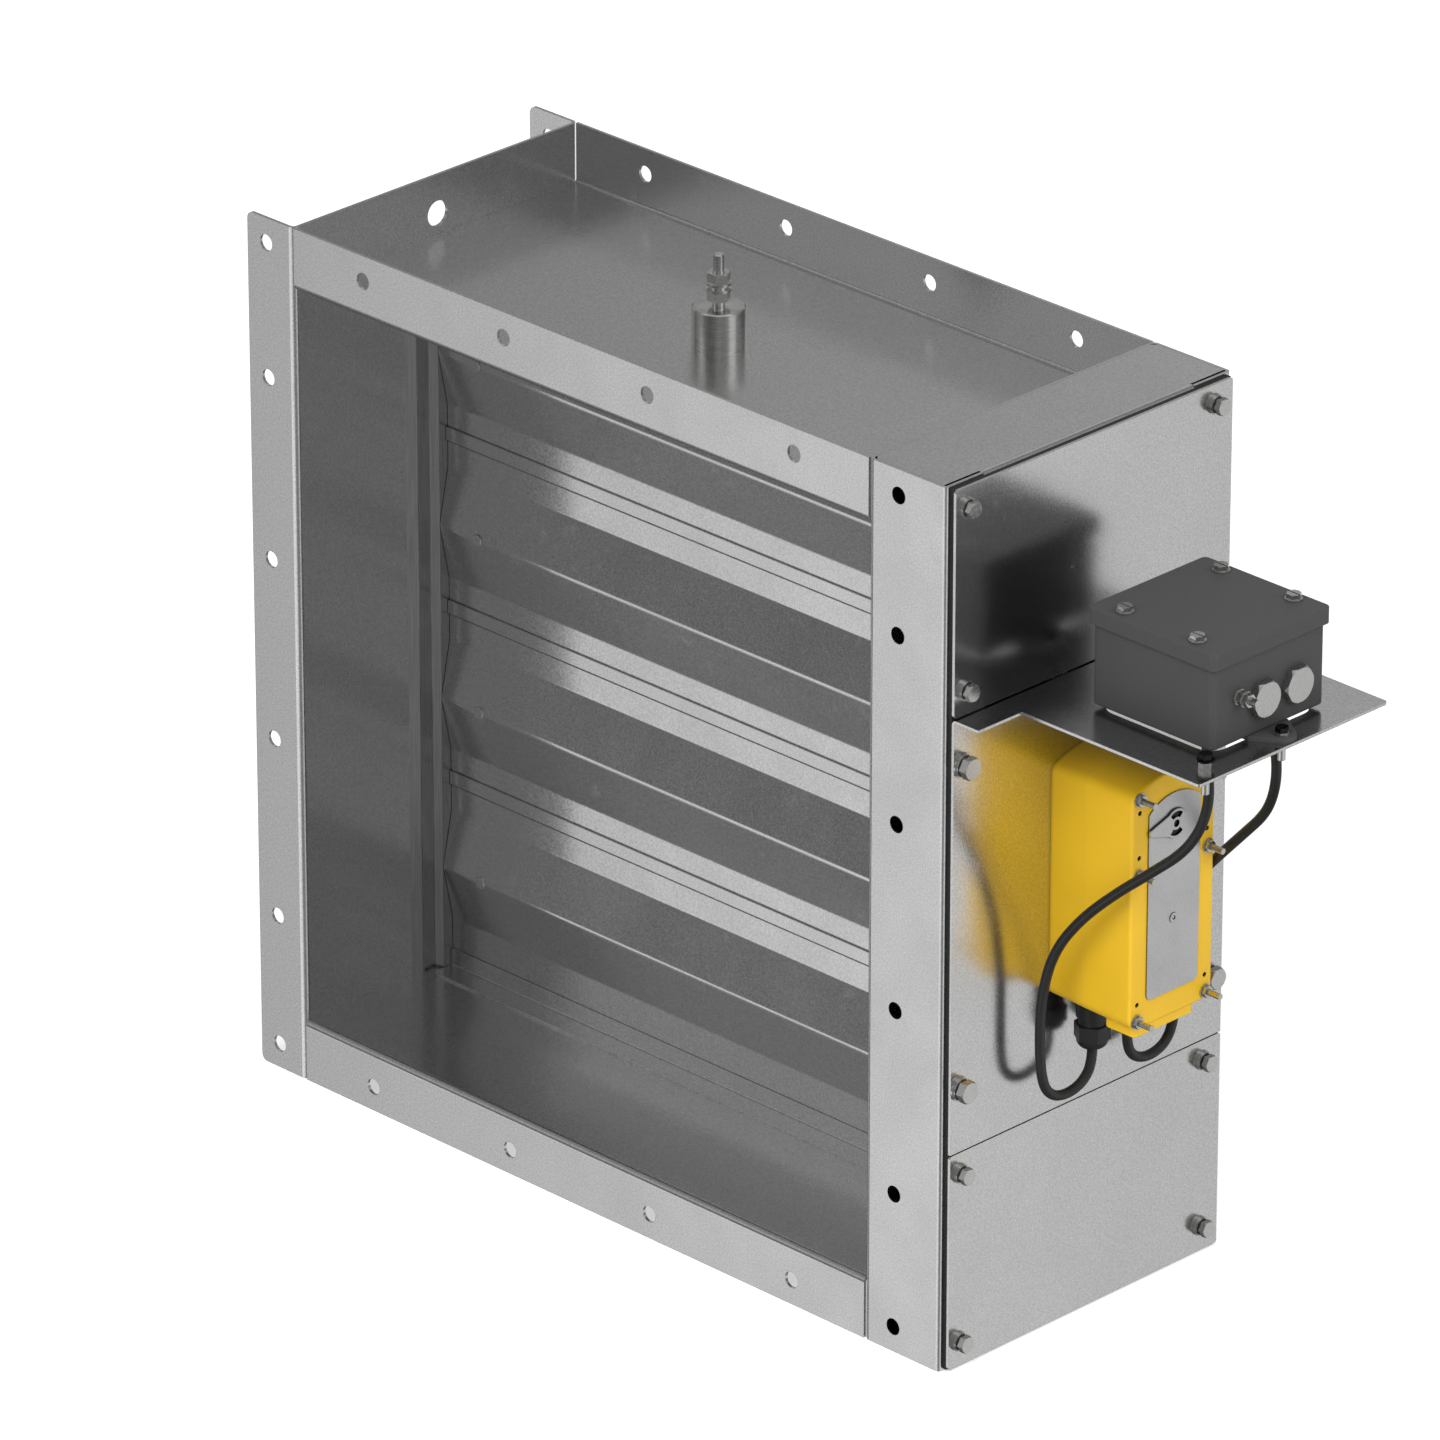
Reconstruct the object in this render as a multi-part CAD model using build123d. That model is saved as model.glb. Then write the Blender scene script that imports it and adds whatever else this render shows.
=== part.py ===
from build123d import *
from math import cos, pi, radians, sin, sqrt, tan
import os

# Multi-blade air control damper with a blade linkage housing, an actuator and a terminal box.
# Millimetres. X runs across the duct towards the actuator, Y along the air flow from the front
# flange to the back flange, and Z up. The origin is the duct centre in the plane of the front flange.

# Cutters run past the faces that they cut by this much
overrun = 1.0

# Casing: four folded channels round the duct
duct_width = 500.0
duct_height = 508.0
casing_depth = 248.0
flange_height = 42.0
sheet = 2.0
outer_bend = 4.2
corner_round = 5.0

# Flange holes
flange_hole = 11.0
hole_pitch = 125.0
holes_in_middle = 4
hole_from_edge = 17.0
lifting_hole = 17.0
lifting_hole_from_top = 26.3

# Linkage housing on the right side
housing_width = 64.0
housing_bend = 2.5
wall_seam_past_bend = 0.05
lip_width = 32.0
cap_corner_notch = 3.2
cap_lip = 20.0
cap_gap = 0.1

# Covers, gaskets and their bolts
gasket = 3.0
cover = 2.0
cover_side_inset = 3.5
cover_end_inset = 1.6
cover_gap = 0.8
cover_corner = 2.0
shelf_top_z = 144.7
bracket_bottom_z = -146.9
cover_bolt = 6.0
cover_bolt_flats = 10.0
cover_bolt_head = 4.0
cover_washer = 13.0
cover_spring_washer = 12.0
cover_seal_ring = 10.6
cover_bolt_from_front = 12.4
cover_bolt_from_back = 19.0
upper_bolt_from_shelf = 16.5
upper_bolt_from_cap = 12.9
lower_bolt_from_bracket = 14.0
lower_bolt_from_cap = 17.4
bracket_bolt = 8.0
bracket_bolt_flats = 13.0
bracket_bolt_head = 5.3
bracket_washer = 16.0
bracket_spring_washer = 14.5
bracket_seal_ring = 13.4
nut_share = 0.8
bracket_bolt_from_front = 11.0
bracket_bolt_from_back = 16.0
bracket_bolt_from_bottom = 43.3
bracket_bolt_from_shelf = 31.7
washer = 1.6
spring_washer = 1.3
seal_ring = 1.2
bolt_clearance = 0.3
thread_fit = 0.05
hexagon_crown_share = 0.97
hexagon_crown_drop = 0.07

# Shelf bent out of the bracket
shelf_bend = 3.5
shelf_step_x = 339.0
shelf_end_x = 483.4
shelf_width = 166.0
shelf_corner = 2.0
shelf_window = 92.8
shelf_window_corner = 12.0

# Blades
blades = 4
blade_end_space = 13.0
end_gap = 8.5
skin = 1.2
shaft_diameter = 15.0
shaft_seat = 0.15
slope_height = 38.4
front_top_past_half = 6.25
front_bottom_past_half = 1.95
joggle = 1.5
joggle_before_half = 4.25
back_top_before_half = 3.25
back_bottom_past_half = 0.25
skin_bend = 6.0
joggle_bend = 0.8
shaft_end_out = 2.0
rivet_from_end = 34.0
rivet_head = 8.6
rivet_head_height = 0.9
rivet_head_edge = 0.3
rivet_barrel = 5.0
rivet_fit = 0.05

# Blade stops on the floor and the ceiling, and seals on the side walls
stop_sheet = 1.5
stop_foot = 17.5
bottom_stop_overlap = 1.8
top_stop_overlap = 7.5
stop_gap = 0.3
stop_bend = 2.5
seal_sheet = 0.8
seal_half_width = 30.0
seal_shoulder_start = 24.0
seal_shoulder_end = 13.5
seal_shoulder = 4.4
seal_crest = 8.2
seal_crest_half = 8.8
seal_bend = 1.5
seal_hole_gap = 0.6

# Shaft bushes
bush_fit = 0.05
bush_barrel = 20.0
bush_flange = 28.0
bush_flange_height = 3.0
bush_length = 8.0
bush_seat = 0.05

# Cranks and link bar inside the housing
crank_gap = 1.5
crank_hub = 24.0
crank_hub_length = 15.0
crank_radius = 30.0
crank_angle = -45.0
crank_arm = 6.0
crank_arm_width = 14.0
crank_pin = 8.0
pin_head = 11.0
pin_head_height = 1.5
link_width = 15.0
link_thickness = 3.0
link_gap = 0.3
link_end = 12.0
link_fit = 0.05
link_play = 0.3

# Earth boss on the roof
boss_diameter = 33.5
boss_height = 26.0
earth_stud = 8.0
earth_stud_end = 7.0
earth_stud_depth = 16.0
earth_stud_top_z = 316.6
earth_nut_flats = 13.0
earth_nut_height = 6.5
earth_neck = 4.0
earth_washer = 16.0
earth_washer_height = 1.6
earth_lug_gap = 2.4
earth_spacer = 11.0
turned_edge = 0.8

# Actuator
parting_from_bracket = 29.0
actuator_depth = 68.5
actuator_half_width = 36.0
actuator_below_axis = 129.25
actuator_above_axis = 34.75
actuator_dome = 78.0
actuator_corner = 8.0
actuator_edge = 2.0
base_draft = 1.6
cover_draft = 0.8
tongue_width = 50.6
tongue_to_front = 5.7
tongue_drop = 6.2
tongue_start = 13.0
tongue_recess = 0.8
tongue_corner = 4.0
tongue_edge = 0.8
actuator_bore_gap = 0.3
actuator_screw = 4.0
actuator_screw_flats = 7.0
actuator_screw_nut = 2.6
actuator_screw_washer = 9.5
actuator_screw_washer_height = 0.9
actuator_screw_out = 13.0
actuator_screw_half_pitch = 30.5
actuator_screw_from_axis = (-123.75, -25.75, 24.75)
actuator_hole = 3.2
actuator_hole_depth = 8.0
actuator_hole_half_pitch = 30.0
actuator_hole_from_axis = (-112.75, -14.25, 15.75)

# Plate and position indicator on the actuator
plate = 1.0
plate_half_width = 22.6
plate_below_axis = 112.45
plate_side_above_axis = 11.75
plate_above_axis = 20.35
plate_corner = 4.0
dial_window = 9.5
dial_screw = 6.5
dial_screw_bore = 2.8
dial_screw_below_axis = 63.45
dial_screw_height = 0.5
indicator_gap = 0.3
indicator = 1.2
pointer_tip = 23.5
pointer_tip_radius = 2.2
pointer_root_half = 8.6
indicator_slot_inner = 4.2
indicator_slot_outer = 8.0
indicator_slot_half_angle = 42.0
indicator_bore = 4.9

# Cable glands and cables
cable = 6.5
gland_x_from_bracket = 18.5
gland_half_pitch = 15.5
gland_collar = 20.6
gland_collar_height = 12.5
gland_neck = 18.2
gland_neck_height = 5.0
gland_nut_flats = 20.2
gland_nut_height = 9.8
gland_cap_height = 6.6
gland_dome_round = 6.2
gland_entry_depth = 10.0
cable_fit = 0.05
cable_bend_share = 0.45
grommet_x = 440.0
grommet_to_front = 29.3
grommet_to_back = 29.1
grommet_diameter = 13.0
grommet_neck = 10.0
grommet_lip = 4.8
grommet_end = 1.5

# Terminal box on the shelf
box_x = 413.3
box_side = 98.4
box_lid_side = 103.2
box_height = 64.3
box_lid_drop = 10.8
box_wall = 3.0
box_lid_fit = 0.2
box_corner = 4.0
box_foot_round = 1.8
box_lid_edge = 1.0
lid_screw = 5.0
lid_screw_head = 8.6
lid_screw_head_height = 3.2
lid_screw_washer = 11.0
lid_screw_washer_height = 1.2
lid_screw_slot = 1.2
lid_screw_length = 16.0
lid_screw_x = 29.4
lid_screw_y = 42.1
screw_boss = 10.0
plug_flats = 22.0
plug_height = 5.5
plug_z = 170.0
plug_from_axis = (-6.7, 22.4)
plug_thread = 16.0
plug_thread_length = 6.0
box_earth_screw = 5.0
box_earth_to_front = 26.8
box_earth_z = 177.0
box_earth_nut_flats = 8.0
box_earth_nut = 4.0
box_earth_washer = 10.0
box_earth_out = 15.5
lug_width = 35.0
lug_tip_radius = 8.8
lug_thickness = 2.8
lug_bolt_from_box = 11.0
shelf_bolt = 5.0
shelf_bolt_flats = 7.8
shelf_bolt_head = 3.8
shelf_nut_flats = 8.0
shelf_nut = 4.0
shelf_washer = 11.0
shelf_washer_height = 1.0
shelf_bolt_length = 18.0
shelf_earth_bolt_length = 22.8
shelf_earth_x = 470.0
shelf_earth_from_edge = 20.0
shelf_earth_nut = 5.0

# Places worked out from the sizes above
wall_x = duct_width / 2
floor_z = -duct_height / 2
ceiling_z = duct_height / 2
top_z = ceiling_z + flange_height
hole_line_x = wall_x + flange_height - hole_from_edge
hole_line_z = top_z - hole_from_edge
middle_holes = [(i - (holes_in_middle - 1) / 2) * hole_pitch for i in range(holes_in_middle)]
web_out_x = wall_x + sheet
wall_seam = outer_bend + wall_seam_past_bend
lip_x = wall_x + housing_width
cover_in_x = lip_x + gasket
cover_out_x = cover_in_x + cover
axis_y = casing_depth / 2
cover_limit_z = top_z - cover_end_inset
upper_cover_bottom_z = shelf_top_z + cover_gap
lower_cover_top_z = bracket_bottom_z - cover_gap
cover_bolt_y = (cover_bolt_from_front, casing_depth - cover_bolt_from_back)
upper_bolt_z = (upper_cover_bottom_z + upper_bolt_from_shelf, cover_limit_z - upper_bolt_from_cap)
lower_bolt_z = (lower_bolt_from_cap - cover_limit_z, lower_cover_top_z - lower_bolt_from_bracket)
bracket_bolt_y = (bracket_bolt_from_front, casing_depth - bracket_bolt_from_back)
bracket_bolt_z = (bracket_bottom_z + bracket_bolt_from_bottom, shelf_top_z - bracket_bolt_from_shelf)
shelf_front_y = axis_y - shelf_width / 2
shelf_back_y = axis_y + shelf_width / 2
blade_pitch = (duct_height - 2 * blade_end_space) / blades
front_skin_top = blade_pitch / 2 + front_top_past_half
front_skin_bottom = blade_pitch / 2 + front_bottom_past_half
joggle_start = blade_pitch / 2 - joggle_before_half
back_skin_top = blade_pitch / 2 - back_top_before_half
back_skin_bottom = blade_pitch / 2 + back_bottom_past_half
blade_z = [(i - (blades - 1) / 2) * blade_pitch for i in range(blades)]
blade_end_x = wall_x - end_gap
bush_end_x = web_out_x + bush_length
crank_x = bush_end_x + crank_gap
link_x = crank_x + crank_arm + link_gap
drive_blade = blades // 2
drive_z = blade_z[drive_blade]
parting_x = cover_out_x + parting_from_bracket
actuator_out_x = cover_out_x + actuator_depth
plate_out_x = actuator_out_x + plate
actuator_bottom_z = drive_z - actuator_below_axis
actuator_top_z = drive_z + actuator_above_axis
indicator_x = plate_out_x + indicator_gap
gland_x = cover_out_x + gland_x_from_bracket
gland_front_y = axis_y - gland_half_pitch
gland_back_y = axis_y + gland_half_pitch
grommet_front_y = axis_y - grommet_to_front
grommet_back_y = axis_y + grommet_to_back
shelf_under_z = shelf_top_z - cover
box_bottom_z = shelf_top_z + lug_thickness
box_top_z = box_bottom_z + box_height
box_right_x = box_x + box_side / 2
lug_reach = box_side / 2 + lug_bolt_from_box


def folded_sheet(place, outline, radii, thickness, side, run):
    """A folded sheet: an outline of one face, thickened to one side and run out of its plane."""
    line = FilletPolyline(*outline, radius=radii)
    section = make_face(line.offset_2d(thickness, side=side, closed=True))
    return extrude(place * section, amount=run)


def looking_right(x, y, z):
    """A place whose own Z points along +X, its own X along +Y and its own Y along +Z."""
    return Plane(origin=(x, y, z), x_dir=(0, 1, 0), z_dir=(1, 0, 0))


def looking_left(x, y, z):
    return Plane(origin=(x, y, z), x_dir=(0, -1, 0), z_dir=(-1, 0, 0))


def looking_up(x, y, z):
    return Plane(origin=(x, y, z), x_dir=(1, 0, 0), z_dir=(0, 0, 1))


def looking_down(x, y, z):
    return Plane(origin=(x, y, z), x_dir=(1, 0, 0), z_dir=(0, 0, -1))


def looking_front(x, y, z):
    return Plane(origin=(x, y, z), x_dir=(1, 0, 0), z_dir=(0, -1, 0))


def disc(diameter, height, base=0.0):
    """A cylinder standing on its own Z axis from base upwards."""
    return Pos(0, 0, base) * extrude(Circle(diameter / 2), amount=height)


def ring(outer, inner, height, base=0.0):
    return Pos(0, 0, base) * extrude(Circle(outer / 2) - Circle(inner / 2), amount=height)


def hexagon(flats, height, base=0.0, crown=True):
    """A hexagon with its upper corners turned off, as on a bolt head or a nut."""
    body = extrude(RegularPolygon(flats / 2, 6, major_radius=False), amount=height)
    if crown:
        corner_radius = flats / 2 / cos(radians(30))
        turned = extrude(Circle(corner_radius), amount=height)
        crown_width = corner_radius - hexagon_crown_share * flats / 2
        upper_edge = turned.faces().sort_by(Axis.Z)[-1].edges()
        turned = chamfer(upper_edge, crown_width, hexagon_crown_drop * flats)
        body = body & turned
    return Pos(0, 0, base) * body


def hexagon_nut(flats, height, bore, base=0.0, crown=True):
    return hexagon(flats, height, base, crown) - disc(bore, 3 * height, base - height)


def group(*shapes):
    """Several shapes in one node, kept as separate solids."""
    return Compound(children=[solid for shape in shapes for solid in shape.solids()])


def copies(places, shape):
    """Copies of one shape, one at each place, kept as separate solids."""
    return group(*[place * shape for place in places])


def flange_hole_cutter(x, z):
    """A cutter through the front and the back flange."""
    return looking_front(x, 2 * casing_depth, z) * disc(flange_hole, 3 * casing_depth)


def blade_axis(x, row):
    return looking_right(x, axis_y, blade_z[row])


# Casing channels

def side_flange_corners(channel):
    """Rounds the free corners of the flanges of an upright channel."""
    edges = channel.edges().filter_by(Axis.Y).group_by(Axis.X)[0]
    return fillet(edges, corner_round)


def left_side_channel():
    outer_x = -wall_x - flange_height
    outline = [(outer_x, 0), (-wall_x, 0), (-wall_x, casing_depth), (outer_x, casing_depth)]
    channel = folded_sheet(looking_up(0, 0, -top_z), outline, outer_bend, sheet, Side.LEFT, 2 * top_z)
    channel = side_flange_corners(channel)
    for z in middle_holes + [-hole_line_z, hole_line_z]:
        channel -= flange_hole_cutter(-hole_line_x, z)
    channel -= looking_left(0, axis_y, top_z - lifting_hole_from_top) * disc(lifting_hole, duct_width)
    for row in range(blades):
        channel -= looking_left(0, axis_y, blade_z[row]) * disc(bush_barrel + 2 * bush_seat, duct_width)
    return channel


def right_side_wall():
    """The duct wall on the right, joined edge to edge to the bends of the two housing walls."""
    wall = Pos(wall_x + sheet / 2, axis_y, 0) * Box(sheet, casing_depth - 2 * wall_seam, 2 * top_z)
    for row in range(blades):
        wall -= blade_axis(wall_x - sheet, row) * disc(bush_barrel + 2 * bush_seat, 3 * sheet)
    return wall


def housing_wall(to_back):
    """A wall of the linkage housing, folded to the duct wall on one edge and to the lip on the other."""
    outline = [(lip_x, lip_width), (lip_x, 0), (wall_x, 0), (wall_x, wall_seam)]
    radii = [housing_bend, outer_bend]
    wall = folded_sheet(looking_up(0, 0, -top_z), outline, radii, sheet, Side.RIGHT, 2 * top_z)
    if to_back:
        wall = mirror(wall, about=Plane.XZ.offset(-axis_y))
    for z in middle_holes + [-hole_line_z, hole_line_z]:
        wall -= flange_hole_cutter(hole_line_x, z)
    for y, z in cover_bolt_places():
        wall -= looking_right(lip_x - 2 * sheet, y, z) * disc(cover_bolt + 2 * bolt_clearance, 3 * sheet)
    for y, z in bracket_bolt_places():
        wall -= looking_right(lip_x - 2 * sheet, y, z) * disc(bracket_bolt + 2 * bolt_clearance, 3 * sheet)
    return wall


def cross_channel(direction):
    """The roof channel with direction 1 and the floor channel with direction -1."""
    outline = [
        (0, direction * top_z),
        (0, direction * ceiling_z),
        (casing_depth, direction * ceiling_z),
        (casing_depth, direction * top_z),
    ]
    side = Side.LEFT if direction > 0 else Side.RIGHT
    channel = folded_sheet(looking_right(-wall_x, 0, 0), outline, outer_bend, sheet, side, duct_width)
    for x in middle_holes:
        channel -= flange_hole_cutter(x, direction * hole_line_z)
    return channel


def housing_cap(direction):
    """A cap between the housing walls, with a lip turned towards the middle behind the covers."""
    outline = [
        (web_out_x + cap_gap, direction * top_z),
        (lip_x, direction * top_z),
        (lip_x, direction * (top_z - cap_lip)),
    ]
    side = Side.RIGHT if direction > 0 else Side.LEFT
    width = casing_depth - 2 * sheet - 2 * cap_gap
    place = Plane(origin=(0, casing_depth - sheet - cap_gap, 0), x_dir=(1, 0, 0), z_dir=(0, -1, 0))
    cap = folded_sheet(place, outline, housing_bend, sheet, side, width)
    room = lip_width - sheet + cap_gap
    lip_room = Box(3 * sheet, room, 2 * (cap_lip + overrun))
    for y in (sheet + room / 2, casing_depth - sheet - room / 2):
        cap -= Pos(lip_x - sheet / 2, y, direction * top_z) * lip_room
    inner_edges = cap.edges().filter_by(Axis.Z).group_by(Axis.X)[0]
    return chamfer(inner_edges, cap_corner_notch)


def casing():
    return {
        "left_side_channel": left_side_channel(),
        "right_side_wall": right_side_wall(),
        "housing_walls": group(housing_wall(False), housing_wall(True)),
        "top_channel": cross_channel(1),
        "bottom_channel": cross_channel(-1),
        "housing_caps": group(housing_cap(1), housing_cap(-1)),
    }


# Covers of the linkage housing

def cover_bolt_places():
    return [(y, z) for y in cover_bolt_y for z in lower_bolt_z + upper_bolt_z]


def bracket_bolt_places():
    return [(y, z) for y in bracket_bolt_y for z in bracket_bolt_z]


def bolt_holes(body, places, diameter):
    for y, z in places:
        hole = disc(diameter + 2 * bolt_clearance, 4 * (gasket + cover))
        body -= looking_right(lip_x - gasket - cover, y, z) * hole
    return body


def cover_plate(bottom, top):
    width = casing_depth - 2 * cover_side_inset
    place = looking_right(cover_in_x, casing_depth / 2, (bottom + top) / 2)
    body = place * extrude(RectangleRounded(width, top - bottom, cover_corner), amount=cover)
    return bolt_holes(body, cover_bolt_places(), cover_bolt)


def actuator_bracket():
    """The middle cover, bent out at its top edge into a shelf that narrows past the covers."""
    side_y = cover_side_inset
    outline = [(cover_in_x, bracket_bottom_z), (cover_in_x, shelf_top_z), (shelf_end_x, shelf_top_z)]
    place = Plane(origin=(0, casing_depth - side_y, 0), x_dir=(1, 0, 0), z_dir=(0, -1, 0))
    body = folded_sheet(place, outline, shelf_bend, cover, Side.RIGHT, casing_depth - 2 * side_y)
    step_length = shelf_end_x - shelf_step_x
    for low, high in ((0, shelf_front_y), (shelf_back_y, casing_depth)):
        corner = Box(2 * step_length, high - low, 4 * cover)
        body -= Pos(shelf_end_x, (low + high) / 2, shelf_top_z) * corner
    body = fillet(body.edges().filter_by(Axis.Z).group_by(Axis.X)[-1], shelf_corner)
    body = bolt_holes(body, bracket_bolt_places(), bracket_bolt)
    body -= blade_axis(lip_x, drive_blade) * disc(shaft_diameter + 2 * bolt_clearance, 2 * housing_width)
    window = extrude(RectangleRounded(shelf_window, shelf_window, shelf_window_corner), amount=3 * cover)
    body -= looking_up(box_x, axis_y, shelf_under_z - cover) * window
    for x, y in lug_bolt_places():
        hole = disc(shelf_bolt + 2 * bolt_clearance, 3 * cover)
        body -= looking_up(x, y, shelf_under_z - cover) * hole
    tapped_hole = disc(shelf_bolt + 2 * thread_fit, 3 * cover, -2 * cover)
    return body - earth_bolt_place() * tapped_hole


def cover_gaskets():
    """Sealing strips between the lips and the covers: two upright strips and one at each cap."""
    strip_width = lip_width - cover_side_inset
    height = 2 * cover_limit_z
    strips = []
    front_y = cover_side_inset + strip_width / 2
    for y in (front_y, casing_depth - front_y):
        strip = Pos(lip_x + gasket / 2, y, 0) * Box(gasket, strip_width, height)
        strip = bolt_holes(strip, cover_bolt_places(), cover_bolt)
        strips.append(bolt_holes(strip, bracket_bolt_places(), bracket_bolt))
    across = casing_depth - 2 * lip_width
    end_width = cap_lip - cover_end_inset
    for direction in (-1, 1):
        z = direction * (cover_limit_z - end_width / 2)
        strips.append(Pos(lip_x + gasket / 2, casing_depth / 2, z) * Box(gasket, across, end_width))
    return group(*strips)


def bolt_with_shank(flats, head, diameter, stack):
    """A hexagon bolt whose head stands above a stack of washers that starts at its own zero."""
    shank_length = stack + cover + gasket + sheet + 2 * diameter
    return hexagon(flats, head, stack) + disc(diameter, shank_length, stack - shank_length)


def covers():
    stack = washer + spring_washer + seal_ring
    cover_places = [looking_right(cover_out_x, y, z) for y, z in cover_bolt_places()]
    bracket_places = [looking_right(cover_out_x, y, z) for y, z in bracket_bolt_places()]
    cover_nut_places = [looking_left(lip_x - sheet, y, z) for y, z in cover_bolt_places()]
    bracket_nut_places = [looking_left(lip_x - sheet, y, z) for y, z in bracket_bolt_places()]
    cover_hole = cover_bolt + 2 * thread_fit
    bracket_hole = bracket_bolt + 2 * thread_fit
    washers = group(
        copies(cover_places, ring(cover_washer, cover_hole, washer)),
        copies(cover_places, ring(cover_spring_washer, cover_hole, spring_washer, washer)),
        copies(bracket_places, ring(bracket_washer, bracket_hole, washer)),
        copies(bracket_places, ring(bracket_spring_washer, bracket_hole, spring_washer, washer)),
    )
    ring_base = washer + spring_washer
    rings = group(
        copies(cover_places, ring(cover_seal_ring, cover_hole, seal_ring, ring_base)),
        copies(bracket_places, ring(bracket_seal_ring, bracket_hole, seal_ring, ring_base)),
    )
    cover_nut = hexagon_nut(cover_bolt_flats, nut_share * cover_bolt, cover_hole, crown=False)
    bracket_nut = hexagon_nut(bracket_bolt_flats, nut_share * bracket_bolt, bracket_hole, crown=False)
    weld_nuts = group(copies(cover_nut_places, cover_nut), copies(bracket_nut_places, bracket_nut))
    cover_bolts = bolt_with_shank(cover_bolt_flats, cover_bolt_head, cover_bolt, stack)
    bracket_bolts = bolt_with_shank(bracket_bolt_flats, bracket_bolt_head, bracket_bolt, stack)
    return {
        "upper_cover": cover_plate(upper_cover_bottom_z, cover_limit_z),
        "lower_cover": cover_plate(-cover_limit_z, lower_cover_top_z),
        "actuator_bracket": actuator_bracket(),
        "cover_gaskets": cover_gaskets(),
        "cover_bolts": copies(cover_places, cover_bolts),
        "bracket_bolts": copies(bracket_places, bracket_bolts),
        "housing_washers": washers,
        "housing_seal_rings": rings,
        "housing_weld_nuts": weld_nuts,
    }


# Blade stops, side seals and bushes

def blade_stop(foot_end, lip_face, base_z, lip_end_z):
    """An angle as long as the blades, with its foot on the floor or the ceiling."""
    outline = [(foot_end, base_z), (lip_face, base_z), (lip_face, lip_end_z)]
    place = looking_right(-blade_end_x, 0, 0)
    return folded_sheet(place, outline, stop_bend, stop_sheet, Side.LEFT, 2 * blade_end_x)


def blade_stops():
    """The floor stop stands in front of the lowest blade, the ceiling stop behind the highest."""
    bottom_lip = axis_y - skin - stop_gap
    bottom_end_z = blade_z[0] - front_skin_bottom + bottom_stop_overlap
    bottom = blade_stop(bottom_lip - stop_foot, bottom_lip, floor_z, bottom_end_z)
    top_lip = axis_y - joggle + stop_gap
    top_end_z = blade_z[-1] + front_skin_top - top_stop_overlap
    top = blade_stop(top_lip + stop_foot, top_lip, ceiling_z, top_end_z)
    return group(bottom, top)


def side_seal(direction):
    """A sprung strip folded out from the side wall to the ends of the blades."""
    wall = direction * wall_x
    inner = [
        (wall, axis_y - seal_half_width),
        (wall - direction * seal_shoulder, axis_y - seal_shoulder_start),
        (wall - direction * seal_shoulder, axis_y - seal_shoulder_end),
        (wall - direction * seal_crest, axis_y - seal_crest_half),
        (wall - direction * seal_crest, axis_y + seal_crest_half),
        (wall - direction * seal_shoulder, axis_y + seal_shoulder_end),
        (wall - direction * seal_shoulder, axis_y + seal_shoulder_start),
        (wall, axis_y + seal_half_width),
    ]
    side = Side.RIGHT if direction > 0 else Side.LEFT
    strip = folded_sheet(looking_up(0, 0, floor_z), inner, seal_bend, seal_sheet, side, duct_height)
    strip &= Pos(wall - direction * duct_width / 2, axis_y, 0) * Box(duct_width, duct_width, 2 * duct_height)
    for row in range(blades):
        hole = disc(shaft_diameter + 2 * seal_hole_gap, 3 * end_gap)
        strip -= blade_axis(wall - 1.5 * end_gap, row) * hole
    return strip


def shaft_bushes():
    """Flanged bushes in both side walls, with their flanges outside the duct."""
    body = disc(bush_barrel, sheet + bush_length) + disc(bush_flange, bush_flange_height, sheet)
    body -= disc(shaft_diameter + 2 * bush_fit, 4 * bush_length, -bush_length)
    right = [looking_right(wall_x, axis_y, z) for z in blade_z]
    left = [looking_left(-wall_x, axis_y, z) for z in blade_z]
    return copies(right + left, body)


def duct_fittings():
    return {
        "blade_stops": blade_stops(),
        "left_side_seal": side_seal(-1),
        "right_side_seal": side_seal(1),
        "shaft_bushes": shaft_bushes(),
    }


# Blades: two folded skins riveted round a shaft

def ridge_points(upper, lower, facing):
    """Outer face of one skin, from its lower edge over the ridge at the shaft to its upper edge."""
    ridge = shaft_diameter / 2 + shaft_seat + skin
    ridge_tip = ridge_corner(ridge)
    return [
        (facing * skin, -lower),
        (facing * skin, -slope_height),
        (facing * ridge_tip, 0),
        (facing * skin, slope_height),
        (facing * skin, upper),
    ], ridge


def ridge_corner(ridge):
    """How far out the two slopes would meet, so that a round of the ridge radius touches both."""
    slope = 0.0
    corner = ridge
    for _ in range(12):
        slope = sqrt(slope_height ** 2 + (corner - skin) ** 2)
        corner = ridge * slope / slope_height
    return corner


def blade_front_skin(row):
    points, ridge = ridge_points(joggle_start, front_skin_bottom, -1)
    points += [(-skin - joggle, joggle_start + joggle), (-skin - joggle, front_skin_top)]
    radii = [skin_bend, ridge, skin_bend, joggle_bend, joggle_bend]
    return folded_sheet(blade_axis(-blade_end_x, row), points, radii, skin, Side.RIGHT, 2 * blade_end_x)


def blade_back_skin(row):
    points, ridge = ridge_points(back_skin_top, back_skin_bottom, 1)
    radii = [skin_bend, ridge, skin_bend]
    return folded_sheet(blade_axis(-blade_end_x, row), points, radii, skin, Side.LEFT, 2 * blade_end_x)


def rivet_places(row):
    return [(direction * (blade_end_x - rivet_from_end), row) for direction in (-1, 1)]


def rivet_cutter(x, row, diameter):
    return looking_front(x, axis_y + shaft_diameter, blade_z[row]) * disc(diameter, 2 * shaft_diameter)


def blade_between_faces(row):
    """The closed block between the outer faces of both skins, which the rivet heads sit on."""
    reach = slope_height + overrun
    front, ridge = ridge_points(reach, reach, -1)
    back, ridge = ridge_points(reach, reach, 1)
    outline = make_face(Polyline(*front, *reversed(back), close=True))
    ridge_corners = outline.vertices().sort_by(Axis.X)
    outline = fillet([ridge_corners[0], ridge_corners[-1]], ridge)
    return extrude(blade_axis(-blade_end_x, row) * outline, amount=2 * blade_end_x)


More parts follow.
